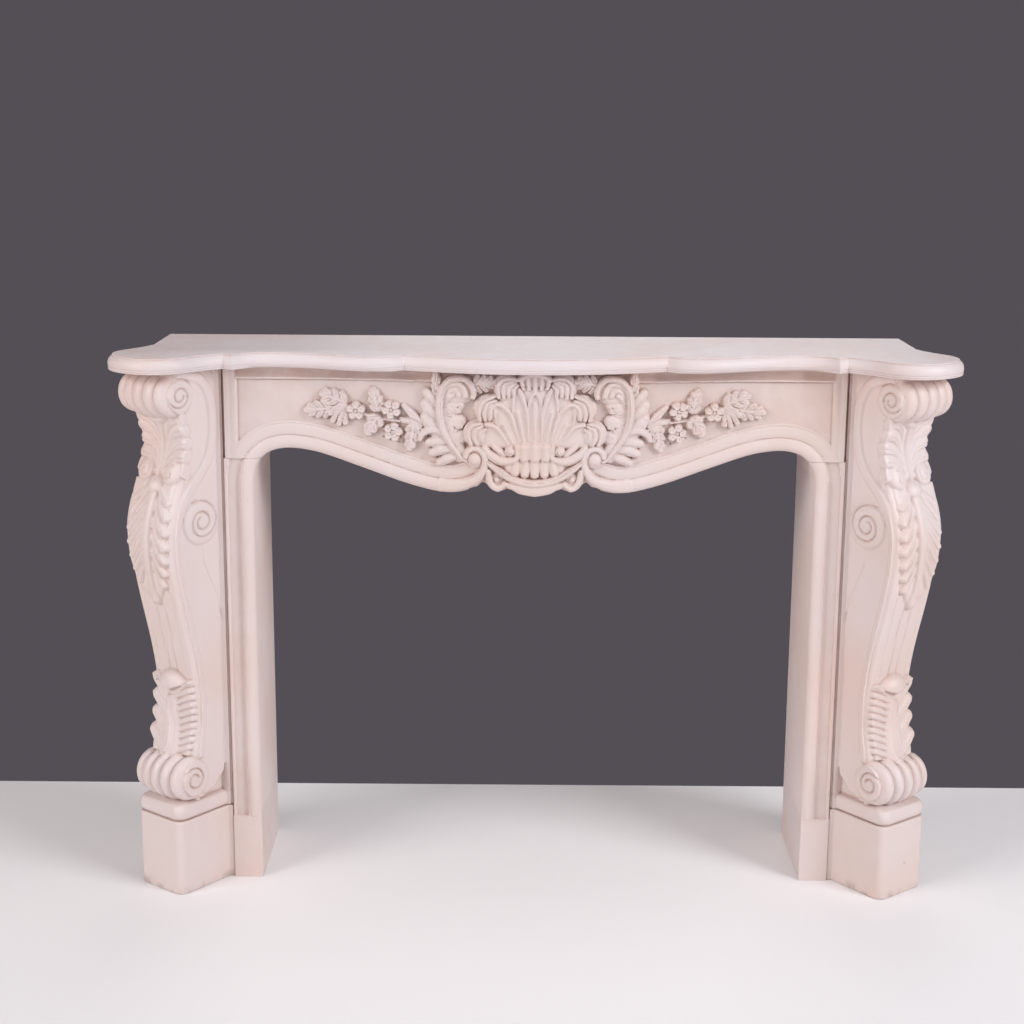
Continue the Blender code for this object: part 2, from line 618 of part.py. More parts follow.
def carve_console_side(relief):
    """The S band and the three volutes on the console's side, over (s, z)."""
    front = [(z, float(console_profile(z)) - 0.014) for z in (0.74, 0.68, 0.61, 0.54, 0.47, 0.40, 0.33)]
    band = [(0.080, 1.058), (0.045, 1.048), (0.019, 1.012), (0.011, 0.965), (0.0135, 0.930), (0.0235, 0.895),
            (0.044, 0.865), (0.070, 0.838), (0.095, 0.805), (0.110, 0.775)] + [(s, z) for z, s in front]
    relief.ridge(curve_through(band, 4), SIDE_BAND_WIDTH / 2, SIDE_BAND_HEIGHT)
    for centre, radius, first, turns in ((TOP_ROLL_CENTRE, TOP_ROLL_RADIUS, 0, 1.6),
                                         (MIDDLE_VOLUTE_CENTRE, MIDDLE_VOLUTE_RADIUS, 40, 1.9),
                                         (LOW_ROLL_CENTRE, LOW_ROLL_RADIUS, 120, 1.7)):
        relief.bump(centre, (radius, radius), VOLUTE_HEIGHT * 0.6)
        relief.ridge(spiral(centre, radius - 0.006, 0.005, first, turns, 44), 0.0065, VOLUTE_HEIGHT * 1.3,
                     0.0045, VOLUTE_HEIGHT * 1.3)


def console_face(heights, w):
    """Forward reach of the console's carved front, on a grid of drawn heights and widths."""
    z, w = np.meshgrid(heights, w, indexing="ij")
    face = Relief(w, z, np.zeros(w.shape))
    carve_console_front(face)
    edge = np.minimum(w - w[0, 0], w[0, -1] - w)
    rounded = ARRIS * (1 - round_top(1 - np.clip(edge / ARRIS, 0, 1)))
    reach = console_profile(z) + np.where(face.height > 0.001, face.height, face.height - rounded)
    for centre, radius in ((TOP_ROLL_CENTRE, TOP_ROLL_RADIUS), (LOW_ROLL_CENTRE, LOW_ROLL_RADIUS)):
        reach = np.maximum(reach, roll_reach(z, w, centre, radius) - rounded)
    cap = TOP_ROLL_CENTRE[0] + TOP_ROLL_RADIUS / 2 - rounded
    return np.where(z > TOP_ROLL_CENTRE[1], np.maximum(reach, cap), reach)


def roll_overhang(s, z):
    """How far the ends of the two rolls stand out beyond the console's outer side."""
    out = np.zeros(np.shape(s))
    for centre, radius, overhang in ((TOP_ROLL_CENTRE, TOP_ROLL_RADIUS, TOP_ROLL_OVERHANG),
                                     (LOW_ROLL_CENTRE, LOW_ROLL_RADIUS, LOW_ROLL_OVERHANG)):
        distance = np.hypot(np.minimum(s - centre[0], 0), z - centre[1]) / radius
        out = np.maximum(out, overhang * round_top(np.clip(distance, 0, 1) ** 2))
    return out


def console_flank(heights, s):
    """How far the console's side stands out or in, on a grid of drawn heights and reaches."""
    z = np.repeat(heights[:, None], s.shape[1], 1)
    flank = Relief(s, z, np.zeros(s.shape))
    carve_console_side(flank)
    tail = np.interp(s, (0, 0.008, 0.031, 0.065, 0.107), (0.261, 0.234, 0.210, 0.195, 0.193))
    under_tail = (z < tail) & (z > DRAWN_CONSOLE_FOOT + CUSHION_HEIGHT) & (s > 0.001)
    return np.where(under_tail, -TAIL_DEPTH, flank.height)


def cushion_ring(inset, across, share, back_s):
    """Reaches and widths of one level of the cushion under the scroll, drawn in by inset."""
    width = LEG_WIDTH - 2 * inset
    w_row = inset + width * across
    gap = np.clip(PLINTH_CORNER - np.minimum(w_row - inset, LEG_WIDTH - inset - w_row), 0, PLINTH_CORNER)
    front = PLINTH_LENGTH - inset - PLINTH_CORNER * (1 - round_top(gap / PLINTH_CORNER))
    return front, back_s + (front[0] - back_s) * share, w_row, np.full(len(share), inset)


def make_console(name, side, back):
    """The scroll leg and its backing, as level rings from the cushion to the shelf."""
    bottom, top = PLINTH_HEIGHT, TOP_OF_LEGS - JOINT_GAP
    heights = np.linspace(bottom, top, round((top - bottom) / CONSOLE_STEP))
    drawn = DRAWN_CONSOLE_FOOT + (heights - bottom) * DRAWN_CONSOLE_HEIGHT / (TOP_OF_LEGS - bottom)
    across = 0.5 - 0.5 * np.cos(np.linspace(0, math.pi, 27))
    share = np.linspace(0, 1, 22)[:-1]
    w = LEG_RECESS + (LEG_WIDTH - 2 * LEG_RECESS) * across
    reach = console_face(drawn, w * DRAWN_CONSOLE_WIDTH / LEG_WIDTH)
    back_s = (LEG_INNER - LEG_START[0]) / FORWARD[0]
    s_side = back_s + (reach[:, :1] - back_s) * share[None, :]
    out = console_flank(drawn, s_side)
    rings = []
    for i, z in enumerate(heights):
        level = (drawn[i] - DRAWN_CONSOLE_FOOT) / CUSHION_HEIGHT
        if level < 1:
            inset = CUSHION_BULGE * (1 - round_top(2 * level - 1))
            front, s_row, w_row, inner_w = cushion_ring(inset, across, share, back_s)
        else:
            front, s_row, inner_w = reach[i], s_side[i], LEG_RECESS - out[i]
            w_row = w + across * roll_overhang(front[-1:], drawn[i])
        plain_w = LEG_WIDTH - inner_w[0]
        outer_s = (LEG_OUTER - LEG_START[0] - plain_w * ACROSS[0]) / FORWARD[0]
        s_outer = outer_s + (front[-1] - outer_s) * share
        outer_w = LEG_WIDTH - np.interp(s_outer, s_row, inner_w)
        outer_w += roll_overhang(s_outer, drawn[i]) * (level >= 1)
        outer_w[0] = plain_w
        ring = [np.array((LEG_INNER, 0))]
        ring += [leg_point(*p) for p in zip(s_row, inner_w)]
        ring += [leg_point(*p) for p in zip(front, w_row)]
        ring += [leg_point(*p) for p in zip(s_outer[::-1], outer_w[::-1])]
        ring.append(np.array((LEG_OUTER, 0)))
        rings.append([(side * p[0], p[1], z) for p in ring])
    return place(name, closed_mesh(name, rings), back, CONSOLE_FACETS)


def main():
    for old in list(bpy.data.objects):
        bpy.data.objects.remove(old)
    back = -min(y for _, y in shelf_outline()) / 2
    make_shelf(back)
    make_frieze(back)
    for side, word in ((-1, "left"), (1, "right")):
        make_jamb(word + "_jamb", side, back)
        make_plinth(word + "_plinth", side, back)
        make_console(word + "_console", side, back)


main()
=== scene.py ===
import math

import bpy
import numpy as np
from mathutils import Matrix, Vector


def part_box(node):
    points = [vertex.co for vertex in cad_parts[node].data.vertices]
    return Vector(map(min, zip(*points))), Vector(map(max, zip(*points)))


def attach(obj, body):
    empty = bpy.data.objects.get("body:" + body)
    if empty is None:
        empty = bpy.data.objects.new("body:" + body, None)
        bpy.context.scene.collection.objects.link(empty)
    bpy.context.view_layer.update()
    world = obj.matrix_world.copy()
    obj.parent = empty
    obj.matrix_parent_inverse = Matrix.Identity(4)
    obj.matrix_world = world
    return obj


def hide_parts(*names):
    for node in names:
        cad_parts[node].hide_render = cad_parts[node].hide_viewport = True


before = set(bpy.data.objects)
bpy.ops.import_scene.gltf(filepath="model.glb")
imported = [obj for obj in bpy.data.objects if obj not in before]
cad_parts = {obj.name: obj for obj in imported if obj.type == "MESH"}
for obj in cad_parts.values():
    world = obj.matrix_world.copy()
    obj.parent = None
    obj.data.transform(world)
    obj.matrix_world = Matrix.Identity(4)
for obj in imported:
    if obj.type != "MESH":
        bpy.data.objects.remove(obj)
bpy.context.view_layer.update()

# Sizes of the mantel, in metres
HEIGHT = 1.1
OPENING_HALF = 0.557
BODY_DEPTH = 0.25
JOINT_GAP = 0.0003
SHELF_THICKNESS = 0.03
LEG_TURN = math.radians(38.5)
LEG_WIDTH = 0.129
LEG_RECESS = 0.003
JAMB_OUTER = 0.615
LEG_INNER = 0.6165
LEG_OUTER = 0.722
PLINTH_HEIGHT = 0.156
PLINTH_LENGTH = 0.1335
PLINTH_CORNER = 0.018
TOP_OF_LEGS = HEIGHT - SHELF_THICKNESS
FRIEZE_HEIGHT = 0.245
JOINT_HEIGHT = 0.887
FRIEZE_END = 0.611
TOP_OVERHANG = 0.011
LOW_OVERHANG = 0.006
FRIEZE_REAR = -BODY_DEPTH + 0.06
ROLL_WIDTH = 0.027
FILLET_WIDTH = 0.028
FIELD = -0.003
LEDGE_END = FRIEZE_END - 0.022
COVE_HEIGHT = 0.02
EYE = (0.117, 0.898)
RELIEF = 0.018
JAMB_FACE = 0.058
STRIP_START = 0.0037

# The back plane of the mantel in the frame
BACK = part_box("left_jamb")[1][1]

LEG_START = np.array((LEG_INNER + 0.0085, -BODY_DEPTH + 0.002))
FORWARD = np.array((math.sin(LEG_TURN), -math.cos(LEG_TURN)))
ACROSS = np.array((math.cos(LEG_TURN), math.sin(LEG_TURN)))
MID = LEG_WIDTH / 2


def smooth(t):
    t = np.clip(t, 0, 1)
    return t * t * (3 - 2 * t)


def round_top(share):
    return np.sqrt(np.clip(1 - share ** 2, 0, 1))


def curve(points, per_span=6):
    """A Catmull-Rom curve through the given points."""
    p = [np.array(q, float) for q in points]
    p = [2 * p[0] - p[1]] + p + [2 * p[-1] - p[-2]]
    made = []
    for a, b, c, d in zip(p, p[1:], p[2:], p[3:]):
        for t in np.arange(per_span) / per_span:
            made.append(0.5 * (2 * b + (c - a) * t + (2 * a - 5 * b + 4 * c - d) * t ** 2
                               + (3 * b - a - 3 * c + d) * t ** 3))
    return np.array(made + [p[-2]])


def spiral(centre, start, end, start_deg, turns, count=60):
    t = np.linspace(0, 1, count)
    angle = math.radians(start_deg) + 2 * math.pi * turns * t
    radius = start * (end / start) ** t
    return np.column_stack((centre[0] + radius * np.cos(angle), centre[1] + radius * np.sin(angle)))


def to_path(x, z, path):
    """Distance to a path, and how far along it the nearest point is, from 0 to 1."""
    nearest = np.full(x.shape, 1e9)
    along = np.zeros(x.shape)
    lengths = np.hypot(*np.diff(path, axis=0).T)
    reached = np.concatenate(([0], np.cumsum(lengths)))
    for a, b, length, before in zip(path, path[1:], lengths, reached):
        ux, uz = (b - a) / length
        t = np.clip((x - a[0]) * ux + (z - a[1]) * uz, 0, length)
        d = np.hypot(x - a[0] - t * ux, z - a[1] - t * uz)
        closer = d < nearest
        nearest = np.where(closer, d, nearest)
        along = np.where(closer, (before + t) / reached[-1], along)
    return nearest, along


def along_values(values, t):
    values = np.atleast_1d(np.array(values, float))
    if len(values) == 1:
        return np.full(t.shape, values[0])
    return np.interp(t, np.linspace(0, 1, len(values)), values)


class Relief:
    """Heights over a grid. A form is added by taking the higher surface, and a cut is taken away."""

    def __init__(self, x, z, height):
        self.x, self.z, self.h = x, z, height

    def near(self, points, reach):
        """The grid's places in a box about the points: a mask, and their two coordinates."""
        low, high = np.min(points, 0) - reach, np.max(points, 0) + reach
        mask = (self.x > low[0]) & (self.x < high[0]) & (self.z > low[1]) & (self.z < high[1])
        return mask, self.x[mask], self.z[mask]

    def bar(self, path, widths, heights, crease=0, power=2, crease_width=0.2):
        """A rounded bar along a path. widths and heights run from its start to its end."""
        path = np.array(path, float)
        mask, x, z = self.near(path, np.max(widths))
        d, t = to_path(x, z, path)
        width = along_values(widths, t)
        share = np.clip(d / width, 0, 1)
        body = along_values(heights, t) * np.sqrt(np.clip(1 - share ** power, 0, 1))
        body = body * (1 - crease * np.exp(-(share / crease_width) ** 2))
        self.h[mask] = np.maximum(self.h[mask], np.where(d < width, body, -1))

    def dome(self, centre, radii, height, turn=0, power=2):
        wide, tall = np.broadcast_to(radii, 2)
        mask, x, z = self.near([centre], max(wide, tall))
        x, z = x - centre[0], z - centre[1]
        u = (x * math.cos(turn) + z * math.sin(turn)) / wide
        v = (z * math.cos(turn) - x * math.sin(turn)) / tall
        r = np.hypot(u, v)
        top = height * np.sqrt(np.clip(1 - r ** power, 0, 1))
        self.h[mask] = np.maximum(self.h[mask], np.where(r < 1, top, -1))

    def cut(self, path, half_width, depth):
        """A groove along a path, or a drilled hole where the path is a point."""
        path = np.array(path, float)
        if len(path) == 1:
            path = np.vstack((path, path + 1e-5))
        mask, x, z = self.near(path, half_width)
        d, _ = to_path(x, z, path)
        share = np.clip(d / half_width, 0, 1)
        self.h[mask] -= depth * (1 - share ** 2) ** 1.5

    def holes(self, side, places, half_width, depth):
        for point in mirrored(side, places):
            self.cut([point], half_width, depth)

    def oak(self, base, tip, half_width, height, pairs=2, bend=0):
        """A leaf with round lobes in pairs and one at its tip, each with a sunk vein."""
        base, tip = np.array(base, float), np.array(tip, float)
        v = tip - base
        length = math.hypot(*v)
        u = v / length
        n = np.array((-u[1], u[0]))

        def on_rib(t):
            return base + v * t + n * bend * length * 4 * t * (1 - t)

        self.dome(on_rib(0.45), (0.5 * length, 0.8 * half_width), 0.52 * height, math.atan2(u[1], u[0]), 4)
        lobe = 0.5 * length / (pairs + 0.9)
        for k in range(pairs):
            start = (k + 0.15) / (pairs + 0.9)
            reach = half_width * (1, 0.92, 0.7, 0.6)[min(k + (pairs < 3), 3)]
            for side in (-1, 1):
                root = on_rib(start)
                end = on_rib(start + 0.75 / (pairs + 0.9)) + side * n * (reach - 0.55 * lobe)
                mid = (root + end) / 2 + side * n * 0.12 * reach
                self.bar(curve([root, mid, end], 3), scaled(lobe, 0.5, 0.88, 0.8),
                         scaled(height, 0.7, 0.95, 0.8), 0.32)
        rib = np.array([on_rib(t) for t in np.linspace(0.05, 0.86, 6)])
        self.bar(rib, scaled(lobe, 0.4, 0.55, 0.95), scaled(height, 0.9, 1, 0.85))
        self.cut(rib, 0.0018, 0.22 * height)

    def flower(self, centre, radius, height, first=0.3):
        """Five cupped round petals about a button."""
        for k in range(5):
            a = first + 2 * math.pi * k / 5
            c = np.array(centre) + 0.6 * radius * np.array((math.cos(a), math.sin(a)))
            reach = 0.44 * radius
            mask, x, z = self.near([c], reach)
            r = np.hypot(x - c[0], z - c[1]) / reach
            top = height * (0.76 + 0.24 * smooth(r / 0.75)) * np.sqrt(np.clip(1 - r ** 5, 0, 1))
            self.h[mask] = np.maximum(self.h[mask], np.where(r < 1, top, -1))
        for k in range(5):
            a = first + 2 * math.pi * (k + 0.5) / 5
            c = np.array(centre) + radius * np.array((math.cos(a), math.sin(a)))
            self.cut([np.array(centre) * 0.45 + c * 0.55, c], 0.0014, 0.2 * height)
        self.dome(centre, 0.27 * radius, height)
        self.cut([centre], 0.0018, 0.35 * height)

    def coil(self, centre, radius, start_deg, turns, rise, groove=0.0021, depth=0.004, inner=0.24):
        """A raised disc with a spiral groove that leaves a rounded coil and an eye."""
        self.dome(centre, radius, rise, power=6)
        self.cut(spiral(centre, radius * 0.98, radius * inner, start_deg, turns, 90), groove, depth)
        self.dome(centre, radius * inner * 0.8, rise * 1.15)


def arch_curve():
    """The right half of the opening's edge, from the floor up and along to the cartouche."""
    w = OPENING_HALF
    corner = [(w, JOINT_HEIGHT - 0.042), (w - 0.005, JOINT_HEIGHT - 0.0168), (w - 0.016, JOINT_HEIGHT),
              (w - 0.034, JOINT_HEIGHT + 0.014), (w - 0.062, JOINT_HEIGHT + 0.021),
              (w - 0.095, JOINT_HEIGHT + 0.02)]
    shares = ((0.75, 0.702), (0.61, 0.808), (0.47, 0.914), (0.36, 0.976), (0.29, 0.988),
              (0.24, 0.967), (0.2, 0.931))
    sweep = [(across * w, TOP_OF_LEGS - down * FRIEZE_HEIGHT) for across, down in shares]
    return curve(corner + sweep, 6)


ARCH = arch_curve()
ARCH_TO_FLOOR = np.vstack(([OPENING_HALF, 0], ARCH))


def lower_edge(x):
    arch = ARCH[::-1]
    height = np.interp(np.abs(x), arch[:, 0], arch[:, 1])
    drops = curve([(0, 0.825), (0.03, 0.8305), (0.047, 0.839), (0.069, 0.8335), (0.084, 0.839),
                           (0.1, 0.851), (0.112, 0.8425), (EYE[0] + 0.012, 0.8375)], 8)
    height = np.where(np.abs(x) < drops[-1, 0], np.interp(np.abs(x), drops[:, 0], drops[:, 1]), height)
    return np.where(np.abs(x) > OPENING_HALF - 0.016, JOINT_HEIGHT, np.maximum(height, 0.825))


def bow(x):
    return 0.045 * smooth((0.46 - np.abs(x)) / 0.46)


def moulding(d, beyond):
    """The opening's moulding at a distance from its edge: a roll, a quirk, a fillet and what lies beyond."""
    middle = ROLL_WIDTH / 2
    roll = 0.011 * (round_top((d - middle) / (middle + 0.0012)) - 0.55)
    t = np.clip((d - ROLL_WIDTH) / FILLET_WIDTH, 0, 1)
    fillet = 0.0005 + 0.0026 * np.sin(math.pi * t ** 0.8) ** 0.8 - 0.002 * np.exp(-((t - 0.8) / 0.05) ** 2)
    return np.where(d < ROLL_WIDTH, roll, np.where(d < ROLL_WIDTH + FILLET_WIDTH, fillet, beyond))


def mirrored(side, points):
    return [(side * x, z) for x, z in points]


def drawn(side, points, per_span=6):
    return curve(mirrored(side, points), per_span)


def scaled(size, *shares):
    return [size * share for share in shares]


def lifts(*shares):
    """Heights as shares of the frieze's relief."""
    return scaled(RELIEF, *shares)


def whole(half):
    """A line that is the same on both sides, from the half on the right."""
    return mirrored(-1, half[:0:-1]) + half


def set_inputs(node, values):
    """Gives inputs of a shader node their value, or the output that feeds them."""
    for name, value in values.items():
        if isinstance(value, bpy.types.NodeSocket):
            node.id_data.links.new(value, node.inputs[name])
        else:
            node.inputs[name].default_value = value


def carve_shell(r):
    """A fan of hollows between ridges that fork, under four pairs of hanging folds and a crown."""
    ridges = [([(0.0128, 0.935), (0.0145, 0.984), (0.0213, 1.014), (0.031, 1.036)], 0.0032),
              ([(0.016, 0.99), (0.009, 1.02), (0.003, 1.029)], 0.003),
              ([(0.0314, 0.932), (0.0381, 0.96), (0.0482, 0.988), (0.065, 1.005), (0.076, 1.0065)], 0.0042),
              ([(0.044, 0.979), (0.043, 1.006), (0.04, 1.034)], 0.0026),
              ([(0.0532, 0.927), (0.0633, 0.946), (0.0768, 0.962), (0.094, 0.967)], 0.0042),
              ([(0.07, 0.955), (0.076, 0.975), (0.079, 0.996)], 0.0026)]
    fingers = [([(0, 0.932), (0, 1.01)], 0.005), ([(0.0215, 0.932), (0.033, 0.991)], 0.0048),
               ([(0.043, 0.93), (0.061, 0.967)], 0.0048), ([(0.064, 0.914), (0.08, 0.925)], 0.0046)]
    folds = [([(0.033, 1.055), (0.0482, 1.058), (0.0633, 1.054), (0.0715, 1.0415), (0.0705, 1.0215)], 0.0056),
             ([(0.044, 1.051), (0.06, 1.045), (0.061, 1.02)], 0.0054),
             ([(0.0385, 1.048), (0.0505, 1.04), (0.0515, 1.0235)], 0.005),
             ([(0.0335, 1.045), (0.042, 1.036), (0.0425, 1.028)], 0.0042),
             ([(0.078, 1.0225), (0.1004, 1.012), (0.1085, 0.991), (0.1065, 0.976)], 0.0058),
             ([(0.0775, 1.014), (0.0919, 1.007), (0.0982, 0.9893), (0.0965, 0.9765)], 0.0054),
             ([(0.0768, 1.005), (0.085, 0.9963), (0.0872, 0.978)], 0.0054),
             ([(0.104, 0.969), (0.1235, 0.9632), (0.1293, 0.9458), (0.1235, 0.9265)], 0.0056),
             ([(0.102, 0.964), (0.115, 0.9563), (0.1172, 0.9389), (0.112, 0.9275)], 0.0052),
             ([(0.097, 0.958), (0.106, 0.949), (0.1035, 0.935)], 0.005)]
    lobes = [((0, 1.05), (0.034, 0.019), 0), ((0.054, 1.04), (0.026, 0.019), -0.35),
             ((0.092, 0.998), (0.023, 0.025), -0.8), ((0.113, 0.947), (0.019, 0.025), -0.25)]
    for side in (-1, 1):
        for centre, radii, turn in lobes:
            r.bar([(0, 0.935), (side * centre[0], centre[1])], [0.016, 0.028], lifts(0.5, 0.66), power=5)
            height = RELIEF * (0.9 if centre[0] else 0.74)
            r.dome((side * centre[0], centre[1]), radii, height, side * turn, power=4)
        for points, width in ridges:
            path = drawn(side, points, 5)
            r.bar(path, scaled(width, 0.9, 1.2, 1.5, 1.8), lifts(0.64, 0.8, 0.92, 0.98), power=1.7)
        for points, width in fingers:
            r.bar(mirrored(side, points), 1.1 * width, lifts(0.66, 0.84))
        for points, width in folds:
            path = drawn(side, points, 5)
            r.bar(path, scaled(width, 0.8, 1, 1.1, 1), lifts(1, 1.12, 1.12, 1.02), 0.06)
        r.holes(side, [(0.077, 1.019), (0.103, 0.971), (0.085, 0.974)], 0.0024, 0.006)
    crown = whole([(0, 1.0655), (0.015, 1.064), (0.029, 1.056)])
    r.bar(curve(crown, 5), [0.0062, 0.0068, 0.0072, 0.0068, 0.0062], RELIEF * 1.15)
    for x, drop, width in ((-0.0265, 0.02, 0.0058), (-0.0135, 0.021, 0.0056), (0, 0.03, 0.0058),
                           (0.0135, 0.021, 0.0056), (0.0265, 0.02, 0.0058)):
        path = [(x, 1.059), (0.97 * x, 1.059 - 0.5 * drop), (0.85 * x, 1.059 - drop)]
        r.bar(curve(path, 4), scaled(width, 1, 0.95, 0.9), lifts(1.1, 1.1, 0.98), 0.06)
    for side in (-1, 1):
        r.holes(side, [(0.007, 1.04), (0.02, 1.0425), (0.0315, 1.048)], 0.0026, 0.005)


def carve_basket(r):
    """The turned cups and hanging tongues under the shell, on a double crescent with curls beside it."""
    r.bar([(-0.025, 0.913), (0.025, 0.913)], 0.017, RELIEF * 0.88, power=8)
    for x, width in ((-0.0212, 0.01), (0, 0.011), (0.0212, 0.01)):
        r.bar([(x, 0.9235), (x, 0.9125), (x, 0.901)], scaled(width, 1, 0.93, 1), RELIEF * 1.12, power=2.6)
    for side in (-1, 1):
        frond = [(0.03, 0.906), (0.038, 0.899), (0.052, 0.895), (0.0684, 0.8965), (0.0869, 0.907),
                 (0.098, 0.92)]
        r.bar(drawn(side, frond), [0.006, 0.0095, 0.0112, 0.0108, 0.0075], RELIEF * 0.98, power=2.4)
        r.bar(mirrored(side, [(0.06, 0.908), (0.079, 0.922)]), [0.008, 0.006], RELIEF * 0.84)
        r.bar(mirrored(side, [(0.0345, 0.924), (0.035, 0.906)]), 0.0058, RELIEF * 0.95)
        r.dome((side * 0.0485, 0.9145), 0.0108, RELIEF * 1.12, power=3)
        r.cut(spiral((side * 0.0485, 0.9145), 0.0078, 0.0035, 30, side * -0.8, 20), 0.0014, 0.0026)
        curl = [(0.0905, 0.874), (0.0885, 0.858), (0.0815, 0.845), (0.0725, 0.84), (0.064, 0.844),
                (0.057, 0.85)]
        r.dome((side * 0.074, 0.857), 0.015, RELIEF * 0.46, power=4)
        r.bar(drawn(side, curl), [0.0066, 0.0076, 0.0078, 0.0074, 0.006], RELIEF * 0.9, power=2.6)
        r.dome((side * 0.0735, 0.858), 0.007, RELIEF * 0.86)
    r.bar([(-0.044, 0.884), (0.044, 0.884)], 0.015, RELIEF * 0.66, power=6)
    for k in range(-2, 3):
        x = k * 0.0192
        drop = 0.869 + 2.4 * x * x
        r.bar([(x * 0.92, 0.893), (x, drop)], 0.0097, lifts(0.82, 1), power=2.4)
    crescent = curve(whole([(0, 0.8495), (0.0229, 0.8525), (0.048, 0.8612), (0.072, 0.8765),
                                    (0.0925, 0.8925)]))
    r.bar(crescent, [0.006, 0.0082, 0.0092, 0.0096, 0.0092, 0.0082, 0.006], RELIEF * 0.98, power=2.6)
    r.cut(crescent + np.array((0, 0.0024)), 0.0012, 0.0026)
    lower = whole([(0, 0.8345), (0.022, 0.8375), (0.044, 0.8445), (0.06, 0.85)])
    r.bar(curve(lower), [0.006, 0.009, 0.013, 0.0136, 0.013, 0.009, 0.006], RELIEF * 0.84, power=3)


def carve_scrolls(r, side):
    """One side's C-scroll with acanthus inside and out, and the volute that ends the arch's roll."""
    ground = drawn(side, [(0.146, 0.905), (0.176, 0.945), (0.192, 0.99), (0.186, 1.03)])
    r.bar(ground, [0.016, 0.027, 0.027, 0.015], RELIEF * 0.48, power=4)
    plump = [([(0.189, 1), (0.203, 1.016), (0.211, 1.026)], 0.011),
             ([(0.187, 0.978), (0.204, 0.99), (0.212, 1.002)], 0.0142),
             ([(0.183, 0.955), (0.202, 0.964), (0.2125, 0.976)], 0.0142),
             ([(0.166, 0.93), (0.186, 0.931), (0.206, 0.927)], 0.0115),
             ([(0.158, 0.916), (0.18, 0.915), (0.2, 0.907)], 0.011),
             ([(0.15, 0.903), (0.168, 0.898), (0.185, 0.889)], 0.01)]
    for points, width in plump:
        path = drawn(side, points, 5)
        r.bar(path, scaled(width, 0.6, 1, 1.05, 0.85), lifts(0.58, 0.78, 0.84, 0.66), 0.08, crease_width=0.14)
        r.cut(path[3:] + np.array((side * 0.001, -0.55 * width)), 0.0012, 0.0016)
    rolled = [(0.172, 0.938), (0.186, 0.951), (0.204, 0.9535), (0.219, 0.945), (0.225, 0.933)]
    r.bar(drawn(side, rolled), [0.0055, 0.008, 0.0092, 0.008, 0.005], lifts(0.7, 0.95, 0.95, 0.8), 0.1)
    r.holes(side, [(0.208, 0.9385), (0.203, 0.9175), (0.19, 0.8995)], 0.0024, 0.006)
    r.oak((side * 0.1895, 1.024), (side * 0.1935, 1.069), 0.0115, RELIEF * 0.8, 2)

    for base, tip, width in (((0.178, 0.992), (0.14, 1.006), 0.0175), ((0.174, 0.96), (0.137, 0.976), 0.017),
                             ((0.162, 0.926), (0.14, 0.948), 0.014)):
        centre = (side * (0.5 * base[0] + 0.5 * tip[0]), 0.5 * base[1] + 0.5 * tip[1])
        r.dome(centre, (0.023, 0.015), RELIEF * 0.5, -side * 0.4, power=3)
        r.oak(*mirrored(side, (base, tip)), width, RELIEF * 0.66, 2, 0.08 * side)
    r.holes(side, [(0.15, 0.998), (0.156, 0.958)], 0.0026, 0.005)
    r.dome((side * 0.096, 1.049), (0.022, 0.013), RELIEF * 0.62, power=3)
    r.oak((side * 0.12, 1.045), (side * 0.072, 1.052), 0.0185, RELIEF * 0.86, 3, 0.03 * side)

    flutes = [([(0.179, 1.008), (0.176, 1.029), (0.165, 1.042), (0.15, 1.045), (0.1385, 1.037),
                (0.1345, 1.0225)], 0.0086),
              ([(0.175, 1.008), (0.17, 1.024), (0.161, 1.033), (0.1525, 1.031), (0.148, 1.0225)], 0.008),
              ([(0.171, 1.008), (0.166, 1.019), (0.16, 1.023)], 0.007)]
    r.dome((side * 0.152, 1.029), (0.034, 0.026), RELIEF * 0.66, power=4)
    for points, width in flutes:
        r.bar(drawn(side, points), scaled(width, 0.5, 0.9, 1), lifts(0.55, 0.88, 0.92))
    stem = [(0.133, 0.893), (0.1407, 0.8971), (0.1525, 0.911), (0.1677, 0.9319), (0.1803, 0.9563),
            (0.1862, 0.9841), (0.1862, 1.0102), (0.1811, 1.0328), (0.1693, 1.0484), (0.1525, 1.0554),
            (0.1357, 1.0537), (0.1239, 1.0432), (0.119, 1.0293), (0.1205, 1.02)]
    path = drawn(side, stem)
    r.bar(path, [0.004, 0.0052, 0.0062, 0.007, 0.0074, 0.0072, 0.007, 0.0072, 0.007, 0.006],
          lifts(0.85, 1, 1.12, 1.15, 1.15, 1.1))
    r.cut(path[12:-4] - np.array((side * 0.002, 0)), 0.0013, 0.0022)

    band = [(0.185, 0.8425), (0.16, 0.8415), (0.137, 0.846), (0.114, 0.8575), (0.099, 0.877),
            (0.0965, 0.898), (0.1045, 0.914), (0.118, 0.919), (0.13, 0.913), (0.135, 0.902)]
    r.bar(drawn(side, band), [0.0136, 0.0125, 0.0102, 0.0084, 0.0074, 0.0066],
          lifts(0.35, 0.6, 0.85, 1, 0.95), power=2.5)
    r.dome((side * EYE[0], EYE[1]), 0.02, RELIEF * 0.62, power=5)
    r.dome((side * EYE[0], EYE[1]), 0.015, RELIEF * 1.04, power=3)


